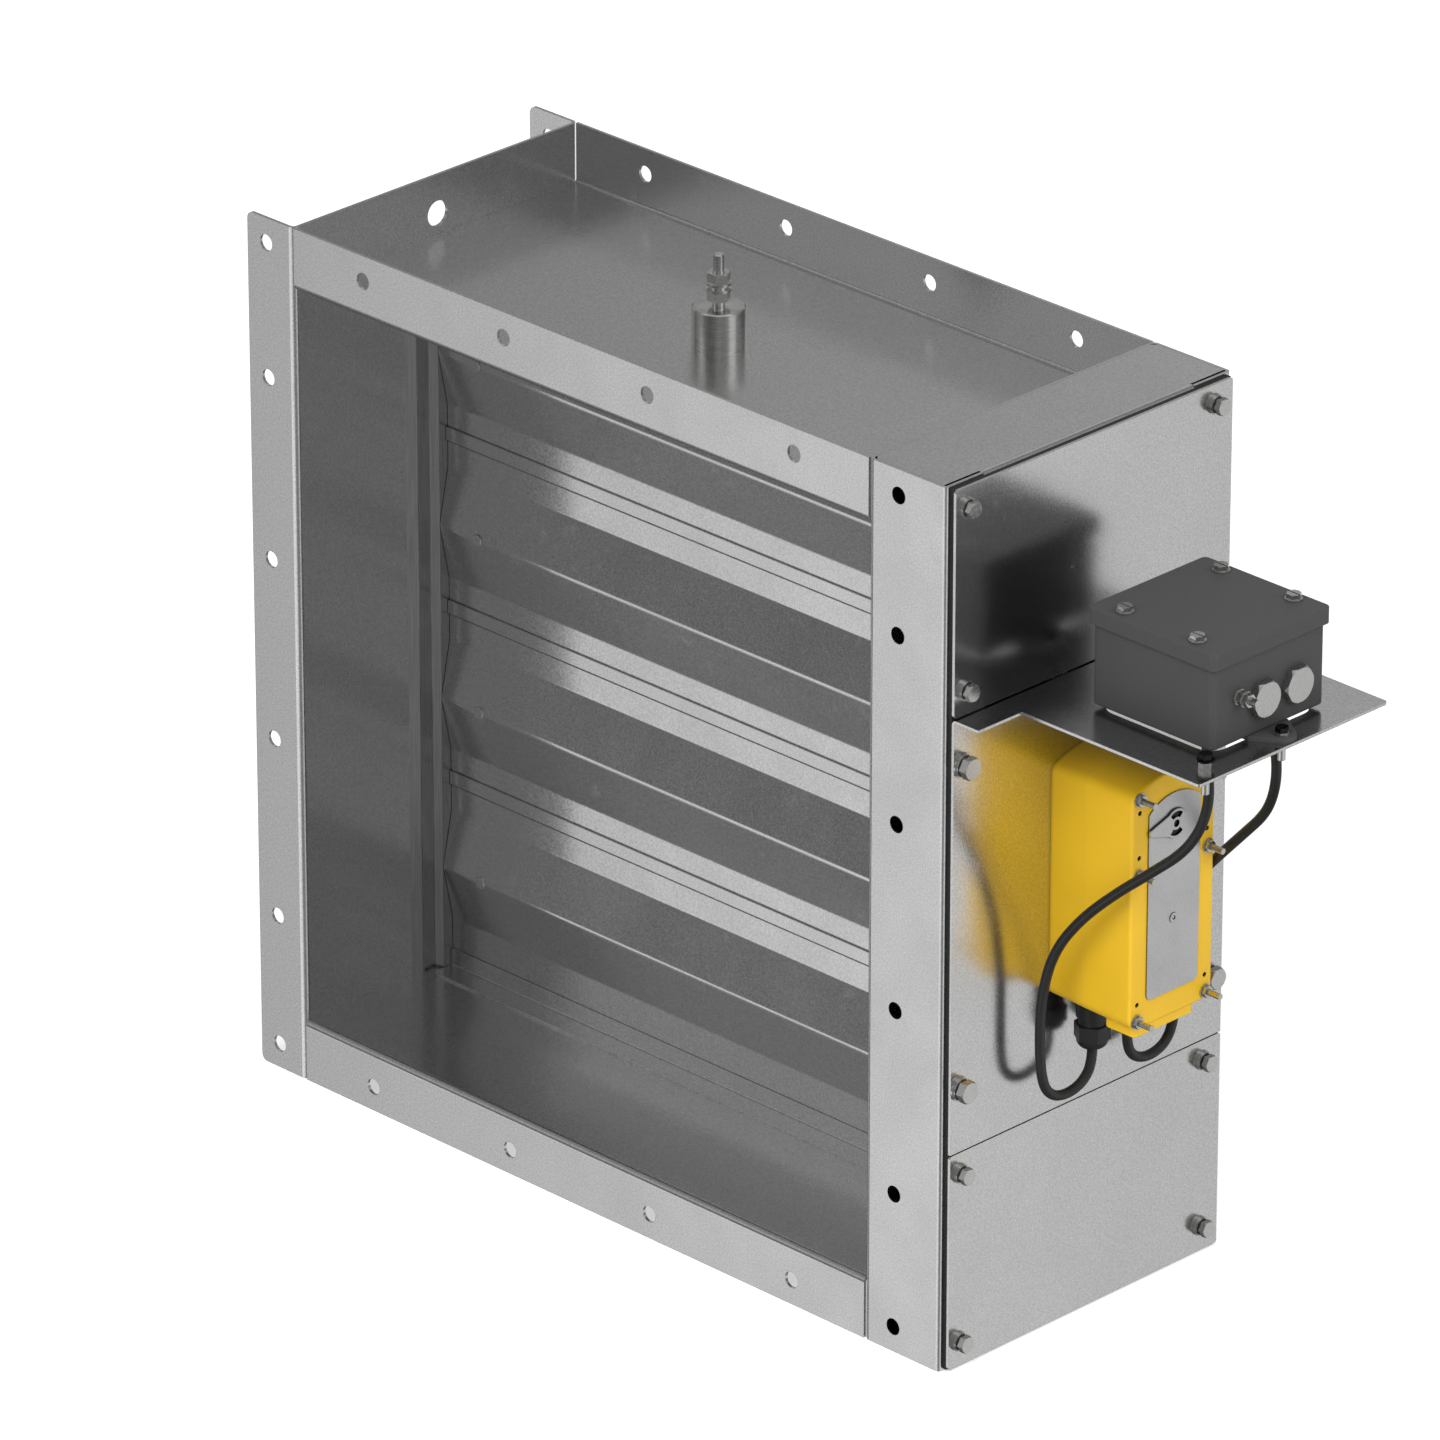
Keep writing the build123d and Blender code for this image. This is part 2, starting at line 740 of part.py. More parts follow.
def blade_rivets(row):
    """Rivets through both ridges and the shaft, with low flat heads."""
    half_length = shaft_diameter / 2 + shaft_seat + skin + rivet_head_height
    places = [looking_front(x, axis_y, blade_z[blade]) for x, blade in rivet_places(row)]
    head = disc(rivet_head, 2 * half_length, -half_length)
    head = chamfer(head.edges().filter_by(GeomType.CIRCLE), rivet_head_edge)
    heads = copies(places, head) - blade_between_faces(row)
    barrels = copies(places, disc(rivet_barrel, 2 * half_length, -half_length))
    return group(heads + barrels)


def blade_shaft(row):
    left_end = -bush_end_x - shaft_end_out
    right_end = indicator_x if row == drive_blade else crank_x + crank_hub_length
    body = blade_axis(left_end, row) * disc(shaft_diameter, right_end - left_end)
    for x, blade in rivet_places(row):
        body -= rivet_cutter(x, blade, rivet_barrel + 2 * rivet_fit)
    return body


def crank_pin_offset():
    """Place of a crank pin from its shaft axis, along Y and along Z."""
    return crank_radius * cos(radians(crank_angle)), crank_radius * sin(radians(crank_angle))


def blade_crank(row):
    """A hub welded to the shaft, an arm to the back and a pin with a peened head."""
    pin_y, pin_z = crank_pin_offset()
    hub = ring(crank_hub, shaft_diameter, crank_hub_length)
    arm = Rot(0, 0, crank_angle) * Pos(crank_radius / 2, 0, 0) * SlotCenterToCenter(crank_radius, crank_arm_width)
    body = hub + (extrude(arm, amount=crank_arm) - disc(shaft_diameter, crank_arm))
    pin_length = link_thickness + 2 * link_gap
    body += Pos(pin_y, pin_z, crank_arm) * disc(crank_pin, pin_length)
    body += Pos(pin_y, pin_z, crank_arm + pin_length) * disc(pin_head, pin_head_height)
    return blade_axis(crank_x, row) * body


def blade_set(row):
    name = f"blade_{row + 1}"
    front = blade_front_skin(row)
    back = blade_back_skin(row)
    for x, blade in rivet_places(row):
        front -= rivet_cutter(x, blade, rivet_barrel + 4 * rivet_fit)
        back -= rivet_cutter(x, blade, rivet_barrel + 4 * rivet_fit)
    return {
        f"{name}_front_skin": front,
        f"{name}_back_skin": back,
        f"{name}_shaft": blade_shaft(row),
        f"{name}_rivets": blade_rivets(row),
        f"{name}_crank": blade_crank(row),
    }


def link_bar():
    """The flat bar that ties the four cranks, tight on the drive crank and with play on the others."""
    pin_y, pin_z = crank_pin_offset()
    length = (blades - 1) * blade_pitch + 2 * link_end
    bar = extrude(SlotOverall(length, link_width, rotation=90), amount=link_thickness)
    for row in range(blades):
        play = link_fit if row == drive_blade else link_play
        bar -= Pos(0, blade_z[row], 0) * disc(crank_pin + 2 * play, 3 * link_thickness, -link_thickness)
    return looking_right(link_x, axis_y + pin_y, pin_z) * bar


# Earth connection on the roof

def earth_connection():
    roof_z = ceiling_z + sheet
    boss_top_z = roof_z + boss_height
    boss = looking_up(0, axis_y, roof_z) * disc(boss_diameter, boss_height)
    boss = chamfer(boss.faces().sort_by(Axis.Z)[-1].edges(), turned_edge)
    boss -= looking_up(0, axis_y, boss_top_z - earth_stud_depth) * disc(earth_stud + 2 * thread_fit, boss_height)
    stud_bottom_z = boss_top_z - earth_stud_depth
    hole = earth_stud + 2 * thread_fit
    lower_nut_z = boss_top_z + earth_neck
    lower_washer_z = lower_nut_z + earth_nut_height
    upper_washer_z = lower_washer_z + earth_washer_height + earth_lug_gap
    upper_nut_z = upper_washer_z + earth_washer_height
    thread_end_z = upper_nut_z + earth_nut_height + turned_edge
    stud = looking_up(0, axis_y, stud_bottom_z) * disc(earth_stud, thread_end_z - stud_bottom_z)
    stud += looking_up(0, axis_y, thread_end_z) * disc(earth_stud_end, earth_stud_top_z - thread_end_z)
    stud = chamfer(stud.faces().sort_by(Axis.Z)[-1].edges(), turned_edge)
    nut = hexagon_nut(earth_nut_flats, earth_nut_height, hole)
    flat = ring(earth_washer, hole, earth_washer_height)
    spacer = ring(earth_spacer, hole, earth_lug_gap)
    spacer_z = lower_washer_z + earth_washer_height
    pieces = [looking_up(0, axis_y, z) * nut for z in (lower_nut_z, upper_nut_z)]
    pieces += [looking_up(0, axis_y, z) * flat for z in (lower_washer_z, upper_washer_z)]
    pieces.append(looking_up(0, axis_y, spacer_z) * spacer)
    return {
        "earth_boss": boss,
        "earth_stud": stud,
        "earth_stud_nuts": group(*pieces),
    }


# Actuator

def actuator_outline():
    """Housing outline seen from the right: straight sides under a wide dome."""
    half = actuator_half_width
    shoulder_z = actuator_top_z - (actuator_dome - sqrt(actuator_dome ** 2 - half ** 2))
    left = Line((-half, shoulder_z), (-half, actuator_bottom_z))
    bottom = Line((-half, actuator_bottom_z), (half, actuator_bottom_z))
    right = Line((half, actuator_bottom_z), (half, shoulder_z))
    dome = RadiusArc((half, shoulder_z), (-half, shoulder_z), -actuator_dome)
    outline = make_face([left, bottom, right, dome])
    return fillet(outline.vertices(), actuator_corner)


def shaft_bore():
    bore = disc(shaft_diameter + 2 * actuator_bore_gap, 2 * actuator_depth)
    return blade_axis(cover_out_x - overrun, drive_blade) * bore


def actuator_screw_places(x, facing):
    ys = (axis_y - actuator_screw_half_pitch, axis_y + actuator_screw_half_pitch)
    return [facing(x, y, drive_z + z) for y in ys for z in actuator_screw_from_axis]


def actuator_base():
    place = looking_left(parting_x, axis_y, 0)
    body = extrude(place * actuator_outline(), amount=parting_from_bracket, taper=base_draft)
    body -= shaft_bore()
    for y in (gland_front_y, gland_back_y):
        entry = disc(cable + 2 * cable_fit, 2 * gland_entry_depth)
        body -= looking_down(gland_x, y, actuator_bottom_z + gland_entry_depth) * entry
    for hole in actuator_screw_places(cover_out_x - overrun, looking_right):
        body -= hole * disc(actuator_screw + 2 * thread_fit, actuator_depth)
    return body


def actuator_cover():
    height = actuator_out_x - parting_x
    body = extrude(looking_right(parting_x, axis_y, 0) * actuator_outline(), amount=height, taper=-cover_draft)
    body = fillet(body.faces().sort_by(Axis.X)[-1].edges(), actuator_edge)
    tongue_length = height - tongue_recess - tongue_start
    tongue = Box(tongue_length, tongue_width, 2 * tongue_drop)
    tongue = fillet(tongue.edges().filter_by(Axis.Z).group_by(Axis.Y)[0], tongue_corner)
    tongue = fillet(tongue.faces().sort_by(Axis.Z)[0].edges(), tongue_edge)
    tongue_x = parting_x + tongue_start + tongue_length / 2
    body += Pos(tongue_x, axis_y - tongue_to_front, actuator_bottom_z) * tongue
    body -= shaft_bore()
    body -= blade_axis(actuator_out_x - plate, drive_blade) * disc(2 * dial_window, 2 * plate)
    for y in (axis_y - actuator_hole_half_pitch, axis_y + actuator_hole_half_pitch):
        for z in actuator_hole_from_axis:
            place = looking_left(actuator_out_x + overrun, y, drive_z + z)
            body -= place * disc(actuator_hole, actuator_hole_depth)
    for hole in actuator_screw_places(cover_out_x - overrun, looking_right):
        body -= hole * disc(actuator_screw + 2 * thread_fit, 2 * actuator_depth)
    return body


def actuator_front_plate():
    """A thin plate with a domed top and a round window for the position indicator."""
    half = plate_half_width
    rise = plate_above_axis - plate_side_above_axis
    dome_radius = (half ** 2 + rise ** 2) / (2 * rise)
    left = Line((-half, plate_side_above_axis), (-half, -plate_below_axis))
    bottom = Line((-half, -plate_below_axis), (half, -plate_below_axis))
    right = Line((half, -plate_below_axis), (half, plate_side_above_axis))
    dome = RadiusArc((half, plate_side_above_axis), (-half, plate_side_above_axis), -dome_radius)
    outline = fillet(make_face([left, bottom, right, dome]).vertices(), plate_corner)
    body = extrude(blade_axis(actuator_out_x, drive_blade) * outline, amount=plate)
    body -= blade_axis(actuator_out_x - plate, drive_blade) * disc(2 * dial_window, 3 * plate)
    screw_place = looking_right(plate_out_x, axis_y, drive_z - dial_screw_below_axis)
    return body + screw_place * ring(dial_screw, dial_screw_bore, dial_screw_height)


def position_indicator():
    """A dial disc with a pointer to the front, on the end of the drive shaft."""
    dial = Circle(dial_window)
    tip = Pos(-pointer_tip + pointer_tip_radius, 0) * Circle(pointer_tip_radius)
    wedge = make_hull((Circle(pointer_root_half) + tip).edges())
    outline = dial + wedge
    slot_band = Circle(indicator_slot_outer) - Circle(indicator_slot_inner)
    reach_out = 2 * indicator_slot_outer
    half_width = reach_out * tan(radians(indicator_slot_half_angle))
    for reach in (-reach_out, reach_out):
        sector = Polygon((0, 0), (half_width, reach), (-half_width, reach), align=None)
        outline -= slot_band & sector
    outline -= Circle(indicator_bore / 2)
    return blade_axis(indicator_x, drive_blade) * extrude(outline, amount=indicator)


def gland_length():
    return gland_collar_height + gland_neck_height + gland_nut_height + gland_cap_height


def gland_set():
    """Body with a collar under the housing, and the domed cap nut that grips the cable."""
    body_height = gland_collar_height + gland_neck_height
    length = gland_length()
    hole = disc(cable + 2 * cable_fit, 3 * length, -length)
    neck = disc(gland_collar, gland_collar_height) + disc(gland_neck, body_height) - hole
    nut_outline = RegularPolygon(gland_nut_flats / 2, 6, major_radius=False, rotation=30)
    cap = extrude(nut_outline, amount=gland_nut_height)
    dome = disc(gland_nut_flats, gland_cap_height, gland_nut_height)
    dome = fillet(dome.faces().sort_by(Axis.Z)[-1].edges(), gland_dome_round)
    cap = Pos(0, 0, body_height) * (cap + dome) - hole
    places = [looking_down(gland_x, y, actuator_bottom_z) for y in (gland_front_y, gland_back_y)]
    return copies(places, neck), copies(places, cap)


def actuator():
    screw_length = actuator_depth + actuator_screw_out
    screw = disc(actuator_screw, screw_length)
    hole = actuator_screw + 2 * thread_fit
    flat = ring(actuator_screw_washer, hole, actuator_screw_washer_height)
    nut = hexagon_nut(actuator_screw_flats, actuator_screw_nut, hole, actuator_screw_washer_height)
    outside = actuator_screw_places(actuator_out_x, looking_right)
    gland_bodies, gland_caps = gland_set()
    return {
        "actuator_base": actuator_base(),
        "actuator_cover": actuator_cover(),
        "actuator_front_plate": actuator_front_plate(),
        "actuator_screws": copies(actuator_screw_places(cover_out_x, looking_right), screw),
        "actuator_nuts": group(copies(outside, flat), copies(outside, nut)),
        "cable_gland_bodies": gland_bodies,
        "cable_gland_caps": gland_caps,
    }


# Cables between the terminal box and the actuator

def cable_ends():
    upper_z = box_bottom_z - grommet_lip
    lower_z = actuator_bottom_z - gland_length()
    return upper_z, lower_z


def front_cable_route():
    upper_z, lower_z = cable_ends()
    return [
        (grommet_x, grommet_front_y, upper_z),
        (grommet_x, grommet_front_y, 128),
        (443.6, axis_y - 29.5, 106),
        (440.5, axis_y - 32.5, 85.5),
        (430, axis_y - 37.2, 66.5),
        (409.5, axis_y - 42.5, 48.5),
        (384, axis_y - 46.5, 27),
        (361, axis_y - 51, 4.5),
        (344, axis_y - 56.7, -20.5),
        (336.5, axis_y - 60, -51),
        (335.8, axis_y - 60.8, -84),
        (336.5, axis_y - 59, -112.5),
        (337, axis_y - 51, -124.5),
        (337.4, axis_y - 37.5, -128),
        (337.5, axis_y - 23.5, -124.5),
        (gland_x, gland_front_y, -114.5),
        (gland_x, gland_front_y, lower_z),
    ]


def back_cable_route():
    upper_z, lower_z = cable_ends()
    return [
        (grommet_x, grommet_back_y, upper_z),
        (grommet_x, grommet_back_y, 128),
        (444, axis_y + 29.3, 107),
        (440.5, axis_y + 31, 86.5),
        (430.5, axis_y + 33.8, 68),
        (411, axis_y + 37, 48),
        (389, axis_y + 40.7, 25.5),
        (366, axis_y + 45.5, 2),
        (349.5, axis_y + 51.5, -21),
        (338, axis_y + 58, -50),
        (335.8, axis_y + 60.8, -82),
        (336.2, axis_y + 59.5, -110),
        (337, axis_y + 52, -123.5),
        (337.2, axis_y + 37.5, -128),
        (337.4, axis_y + 23.5, -124.5),
        (gland_x, gland_back_y, -114.5),
        (gland_x, gland_back_y, lower_z),
    ]


def bend_radii(route):
    """The largest round that the two runs beside each corner of a route allow."""
    radii = []
    points = [Vector(*point) for point in route]
    for before, corner, after in zip(points, points[1:], points[2:]):
        turn = (corner - before).get_angle(after - corner)
        shorter = min((corner - before).length, (after - corner).length)
        radii.append(cable_bend_share * shorter / tan(radians(turn / 2)))
    return radii


def cable_along(name, route):
    radii = bend_radii(route)
    path = FilletPolyline(*route, radius=radii)
    start = Plane(origin=path @ 0, z_dir=path % 0)
    tube = sweep(start * Circle(cable / 2), path=path)
    straight_volume = path.length * pi * cable ** 2 / 4
    print(name, "length", round(path.length, 1), "radii", [round(radius, 1) for radius in radii])
    print(name, "volume", round(tube.volume, 1), "section times length", round(straight_volume, 1))
    return tube


def cables():
    body = disc(grommet_diameter, grommet_lip, -grommet_lip)
    body += disc(grommet_neck, box_wall + grommet_end)
    body -= disc(cable + 2 * cable_fit, 4 * box_wall, -2 * box_wall)
    places = [looking_up(grommet_x, y, box_bottom_z) for y in (grommet_front_y, grommet_back_y)]
    return {
        "cable_grommets": copies(places, body),
        "front_cable": cable_along("front_cable", front_cable_route()),
        "back_cable": cable_along("back_cable", back_cable_route()),
    }


# Terminal box

def rounded_block(side, height, base, round_radius):
    return extrude(looking_up(box_x, axis_y, base) * RectangleRounded(side, side, round_radius), amount=height)


def lid_screw_places(z):
    offsets = [(dx, dy) for dx in (-lid_screw_x, lid_screw_x) for dy in (-lid_screw_y, lid_screw_y)]
    return [looking_up(box_x + dx, axis_y + dy, z) for dx, dy in offsets]


def lug_bolt_places():
    return [(box_x - lug_reach, axis_y), (box_x + lug_reach, axis_y)]


def earth_bolt_place():
    return looking_up(shelf_earth_x, shelf_front_y + shelf_earth_from_edge, shelf_top_z)


def terminal_box_body():
    """A cast box with screw bosses inside, on a strap that ends in a lug at each side."""
    rim_z = box_top_z - box_wall
    inner_side = box_side - 2 * box_wall
    body = rounded_block(box_side, rim_z - box_bottom_z, box_bottom_z, box_corner)
    body = fillet(body.faces().sort_by(Axis.Z)[0].edges(), box_foot_round)
    inner_height = rim_z - box_bottom_z
    body -= rounded_block(inner_side, inner_height, box_bottom_z + box_wall, box_corner - box_wall / 2)
    boss_bottom_z = box_bottom_z + box_wall / 2
    for place in lid_screw_places(boss_bottom_z):
        body += place * disc(screw_boss, rim_z - boss_bottom_z)
    for place in lid_screw_places(box_top_z - lid_screw_length - overrun):
        body -= place * disc(lid_screw + 2 * thread_fit, 2 * lid_screw_length)
    tips = [Pos(direction * lug_reach) * Circle(lug_tip_radius) for direction in (-1, 1)]
    strap = make_hull((tips[0] + Rectangle(box_side, lug_width) + tips[1]).edges())
    body += looking_up(box_x, axis_y, shelf_top_z) * extrude(strap, amount=lug_thickness)
    for x, y in lug_bolt_places():
        lug_hole = disc(shelf_bolt + 2 * bolt_clearance, 3 * lug_thickness, -lug_thickness)
        body -= looking_up(x, y, shelf_top_z) * lug_hole
    for across in plug_from_axis:
        plug_hole = disc(plug_thread + 2 * thread_fit, 4 * box_wall)
        body -= looking_right(box_right_x - 2 * box_wall, axis_y + across, plug_z) * plug_hole
    earth_hole = disc(box_earth_screw + 2 * thread_fit, 4 * box_wall)
    earth_y = axis_y - box_earth_to_front
    body -= looking_right(box_right_x - 2 * box_wall, earth_y, box_earth_z) * earth_hole
    for y in (grommet_front_y, grommet_back_y):
        hole = disc(grommet_neck + 2 * cable_fit, 2 * box_wall)
        body -= looking_up(grommet_x, y, box_bottom_z - box_wall / 2) * hole
    return body


def terminal_box_lid():
    """A lid that laps over the rim of the box, with clearance for it."""
    rim_z = box_top_z - box_wall
    skirt_z = box_top_z - box_lid_drop
    body = rounded_block(box_lid_side, box_lid_drop, skirt_z, box_corner)
    body = fillet(body.faces().sort_by(Axis.Z)[-1].edges(), box_lid_edge)
    inner_side = box_side + 2 * box_lid_fit
    body -= rounded_block(inner_side, rim_z - skirt_z + overrun, skirt_z - overrun, box_corner)
    for place in lid_screw_places(rim_z - overrun):
        body -= place * disc(lid_screw + 2 * bolt_clearance, 3 * box_wall)
    return body


def lid_screws():
    """Slotted hexagon screws on washers."""
    screw = hexagon(lid_screw_head, lid_screw_head_height, lid_screw_washer_height)
    screw += disc(lid_screw, lid_screw_length, lid_screw_washer_height - lid_screw_length)
    slot_z = lid_screw_washer_height + lid_screw_head_height
    screw -= Pos(0, 0, slot_z) * Box(2 * lid_screw_head, lid_screw_slot, lid_screw_head_height)
    flat = ring(lid_screw_washer, lid_screw + 2 * thread_fit, lid_screw_washer_height)
    places = lid_screw_places(box_top_z)
    return group(copies(places, screw), copies(places, flat))


def box_plugs():
    """Hexagon blanking plugs in the spare cable entries."""
    plug = hexagon(plug_flats, plug_height) + disc(plug_thread, plug_thread_length, -plug_thread_length)
    return copies([looking_right(box_right_x, axis_y + across, plug_z) for across in plug_from_axis], plug)


def box_earth_fitting():
    """A threaded stud through the wall with a nut, a washer pair and a second nut outside."""
    hole = box_earth_screw + 2 * thread_fit
    stud = disc(box_earth_screw, box_earth_out + 2 * box_wall, -2 * box_wall)
    inner_nut_base = shelf_washer_height
    outer_washer_base = inner_nut_base + box_earth_nut
    outer_nut_base = outer_washer_base + shelf_washer_height
    pieces = group(
        stud,
        ring(box_earth_washer, hole, shelf_washer_height),
        hexagon_nut(box_earth_nut_flats, box_earth_nut, hole, inner_nut_base),
        ring(box_earth_washer, hole, shelf_washer_height, outer_washer_base),
        hexagon_nut(box_earth_nut_flats, box_earth_nut, hole, outer_nut_base),
    )
    return copies([looking_right(box_right_x, axis_y - box_earth_to_front, box_earth_z)], pieces)


def shelf_bolts():
    """The bolts through the lugs of the box, and the earth bolt in the shelf on a lock nut."""
    hole = shelf_bolt + 2 * thread_fit
    head = hexagon(shelf_bolt_flats, shelf_bolt_head, shelf_washer_height)
    lug_bolt = head + disc(shelf_bolt, shelf_bolt_length, shelf_washer_height - shelf_bolt_length)
    earth_shank = disc(shelf_bolt, shelf_earth_bolt_length, shelf_washer_height - shelf_earth_bolt_length)
    flat = ring(shelf_washer, hole, shelf_washer_height)
    lug_seats = [looking_up(x, y, shelf_top_z + lug_thickness) for x, y in lug_bolt_places()]
    earth_seat = earth_bolt_place() * Pos(0, 0, shelf_earth_nut)
    under = [looking_down(x, y, shelf_under_z) for x, y in lug_bolt_places()]
    return group(
        copies(lug_seats, lug_bolt),
        earth_seat * (head + earth_shank),
        copies(lug_seats + [earth_seat], flat),
        earth_bolt_place() * hexagon_nut(shelf_nut_flats, shelf_earth_nut, hole),
        copies(under, hexagon_nut(shelf_nut_flats, shelf_nut, hole)),
    )


def terminal_box():
    return {
        "terminal_box_body": terminal_box_body(),
        "terminal_box_lid": terminal_box_lid(),
        "terminal_box_lid_screws": lid_screws(),
        "terminal_box_plugs": box_plugs(),
        "terminal_box_earth_screw": box_earth_fitting(),
        "shelf_bolts": shelf_bolts(),
    }


def build_damper():
    nodes = {}
    nodes.update(casing())
    nodes.update(covers())
    nodes.update(duct_fittings())
    for row in range(blades):
        nodes.update(blade_set(row))
    nodes["link_bar"] = link_bar()
    nodes["position_indicator"] = position_indicator()
    nodes.update(earth_connection())
    nodes.update(actuator())
    nodes.update(cables())
    nodes.update(terminal_box())
    return nodes


os.makedirs("parts", exist_ok=True)
for node, shape in build_damper().items():
    export_step(shape, f"parts/{node}.step")
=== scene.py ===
from math import cos, pi, radians, sin

import bpy
from bpy.props import FloatProperty, FloatVectorProperty, PointerProperty
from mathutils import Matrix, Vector


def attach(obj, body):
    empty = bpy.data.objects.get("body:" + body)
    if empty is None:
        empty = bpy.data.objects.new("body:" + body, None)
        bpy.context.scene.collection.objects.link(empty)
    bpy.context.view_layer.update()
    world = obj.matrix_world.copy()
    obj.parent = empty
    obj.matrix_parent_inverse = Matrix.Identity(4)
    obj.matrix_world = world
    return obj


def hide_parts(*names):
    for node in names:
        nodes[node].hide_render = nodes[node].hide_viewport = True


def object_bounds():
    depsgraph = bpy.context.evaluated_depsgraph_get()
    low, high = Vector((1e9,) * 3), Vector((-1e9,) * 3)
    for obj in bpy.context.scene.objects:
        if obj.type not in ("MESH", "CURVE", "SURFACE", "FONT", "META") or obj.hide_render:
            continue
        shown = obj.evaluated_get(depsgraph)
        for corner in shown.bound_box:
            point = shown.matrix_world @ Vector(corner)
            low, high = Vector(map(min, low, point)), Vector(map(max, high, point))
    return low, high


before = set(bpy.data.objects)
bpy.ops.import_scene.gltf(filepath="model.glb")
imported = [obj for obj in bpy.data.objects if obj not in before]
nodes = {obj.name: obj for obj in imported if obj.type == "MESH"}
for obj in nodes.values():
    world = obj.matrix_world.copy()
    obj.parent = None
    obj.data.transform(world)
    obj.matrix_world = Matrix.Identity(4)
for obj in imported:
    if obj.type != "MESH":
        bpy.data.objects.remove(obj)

bl_info = {
    "name": "Control damper finishes",
    "version": (1, 0, 0),
    "blender": (4, 5, 0),
    "location": "3D View > Sidebar > Damper",
    "description": "Finishes, cables and studio for a multi-blade control damper",
    "category": "Material",
}

cad_low, cad_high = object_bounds()

BLADES = (1, 2, 3, 4)

# Routes of the two cables, from the grommet in the terminal box to the gland of the actuator
FRONT_CABLE_ROUTE = [
    (0.440, 0.0947, 0.1427), (0.440, 0.0947, 0.128), (0.4436, 0.0945, 0.106), (0.4405, 0.0915, 0.0855),
    (0.430, 0.0868, 0.0665), (0.4095, 0.0815, 0.0485), (0.384, 0.0775, 0.027), (0.361, 0.073, 0.0045),
    (0.344, 0.0673, -0.0205), (0.3365, 0.064, -0.051), (0.3358, 0.0632, -0.084), (0.3365, 0.065, -0.1125),
    (0.337, 0.073, -0.1245), (0.3374, 0.0865, -0.128), (0.3375, 0.1005, -0.1245), (0.3375, 0.1085, -0.1145),
    (0.3375, 0.1085, -0.1029),
]
BACK_CABLE_ROUTE = [
    (0.440, 0.1531, 0.1427), (0.440, 0.1531, 0.128), (0.444, 0.1533, 0.107), (0.4405, 0.155, 0.0865),
    (0.4305, 0.1578, 0.068), (0.411, 0.161, 0.048), (0.389, 0.1647, 0.0255), (0.366, 0.1695, 0.002),
    (0.3495, 0.1755, -0.021), (0.338, 0.182, -0.050), (0.3358, 0.1848, -0.082), (0.3362, 0.1835, -0.110),
    (0.337, 0.176, -0.1235), (0.3372, 0.1615, -0.128), (0.3374, 0.1475, -0.1245), (0.3375, 0.1395, -0.1145),
    (0.3375, 0.1395, -0.1029),
]
FRONT_CABLE_LENGTH = 0.3621
BACK_CABLE_LENGTH = 0.3586

# Height from which the bolts of the shelf are black, and place from which the drive shaft is, along X
BOLT_HEADS_FROM = 0.1492
SHAFT_END_FROM = 0.3865

# Colours of blacked steel, of painted shade down in small hollows, and of specks on the face plate
BLACKED_STEEL = (0.035, 0.034, 0.034)
PAINTED_SHADE_IN_CASTING_HOLES = (0.01, 0.008, 0.004)
PAINTED_SHADE_IN_PLATE_HOLES = (0.01, 0.01, 0.01)
PLATE_SPECK = (0.3, 0.3, 0.3)

# Camera of the photograph: place, direction and lens
CAMERA_PLACE = (4.78549, -4.66619, 3.15774)
CAMERA_AZIMUTH = 44.965
CAMERA_ELEVATION = 25.0
CAMERA_LENS = 298.71

# Lamps of the studio: azimuth and elevation from the object, distance, width, and share of the power
LAMPS = (("main_lamp", 20, 45, 3.2, 1.8, 1.0), ("side_lamp", 95, 35, 3.2, 1.6, 0.5))
LAMPS_AIM_AT = (0.05, 0.12, 0.0)

# Floor: how far it reaches, its own white, and the white added where it is seen
FLOOR_REACH = 14.0
FLOOR_WHITE = (0.9, 0.9, 0.9, 1.0)
FLOOR_GLOW = (0.5, 0.5, 0.5, 1.0)

# Plain grey light that the world gives the object
WORLD_LIGHT = (0.5, 0.5, 0.5, 1.0)

# Grey levels of the studio as gloss sees it, by height above the horizon and by direction round the
# object, in degrees: a pale band low down, dim at the horizon, and a mid grey ceiling
PLAIN_LEVELS = ((-90, 0.17), (-36, 0.17), (-30, 0.17), (4, 0.2), (20, 0.40), (90, 0.55))
BAND_HEIGHTS = ((-41, 0.0), (-34, 1.0), (-17, 1.0), (-12, 0.0))
BAND_LEVELS = ((-180, 0.85), (-162, 0.3), (-142, 0.16), (-137.5, 0.42), (-134.5, 1.0), (-90, 1.0),
               (-60, 0.25), (-30, 0.25), (0, 0.85), (43, 0.9), (48, 0.64), (53, 0.4), (62, 0.4), (90, 0.85),
               (180, 0.85))
HORIZON_HEIGHTS = ((-15, 0.0), (-11, 1.0), (0, 1.0), (8, 0.0))
HORIZON_LEVELS = ((-180, 0.5), (-155, 0.15), (-118, 0.15), (-95, 0.45), (-70, 0.25), (-25, 0.25), (-5, 0.6),
                  (60, 0.55), (180, 0.5))
OVERHEAD_HEIGHTS = ((10, 0.0), (20, 1.0), (45, 1.0), (70, 0.0))
UPPER_LEVELS = ((-180, 0.35), (-165, 0.15), (-150, 0.25), (-135, 0.38), (-126, 0.62), (-114, 0.5),
                (-98, 0.16), (-70, 0.13), (-48, 0.3), (-20, 0.26), (-4, 0.4), (6, 0.85), (26, 0.8),
                (38, 0.32), (60, 0.26), (88, 0.16), (110, 0.35), (127, 0.6), (139, 0.2), (160, 0.3),
                (180, 0.35))


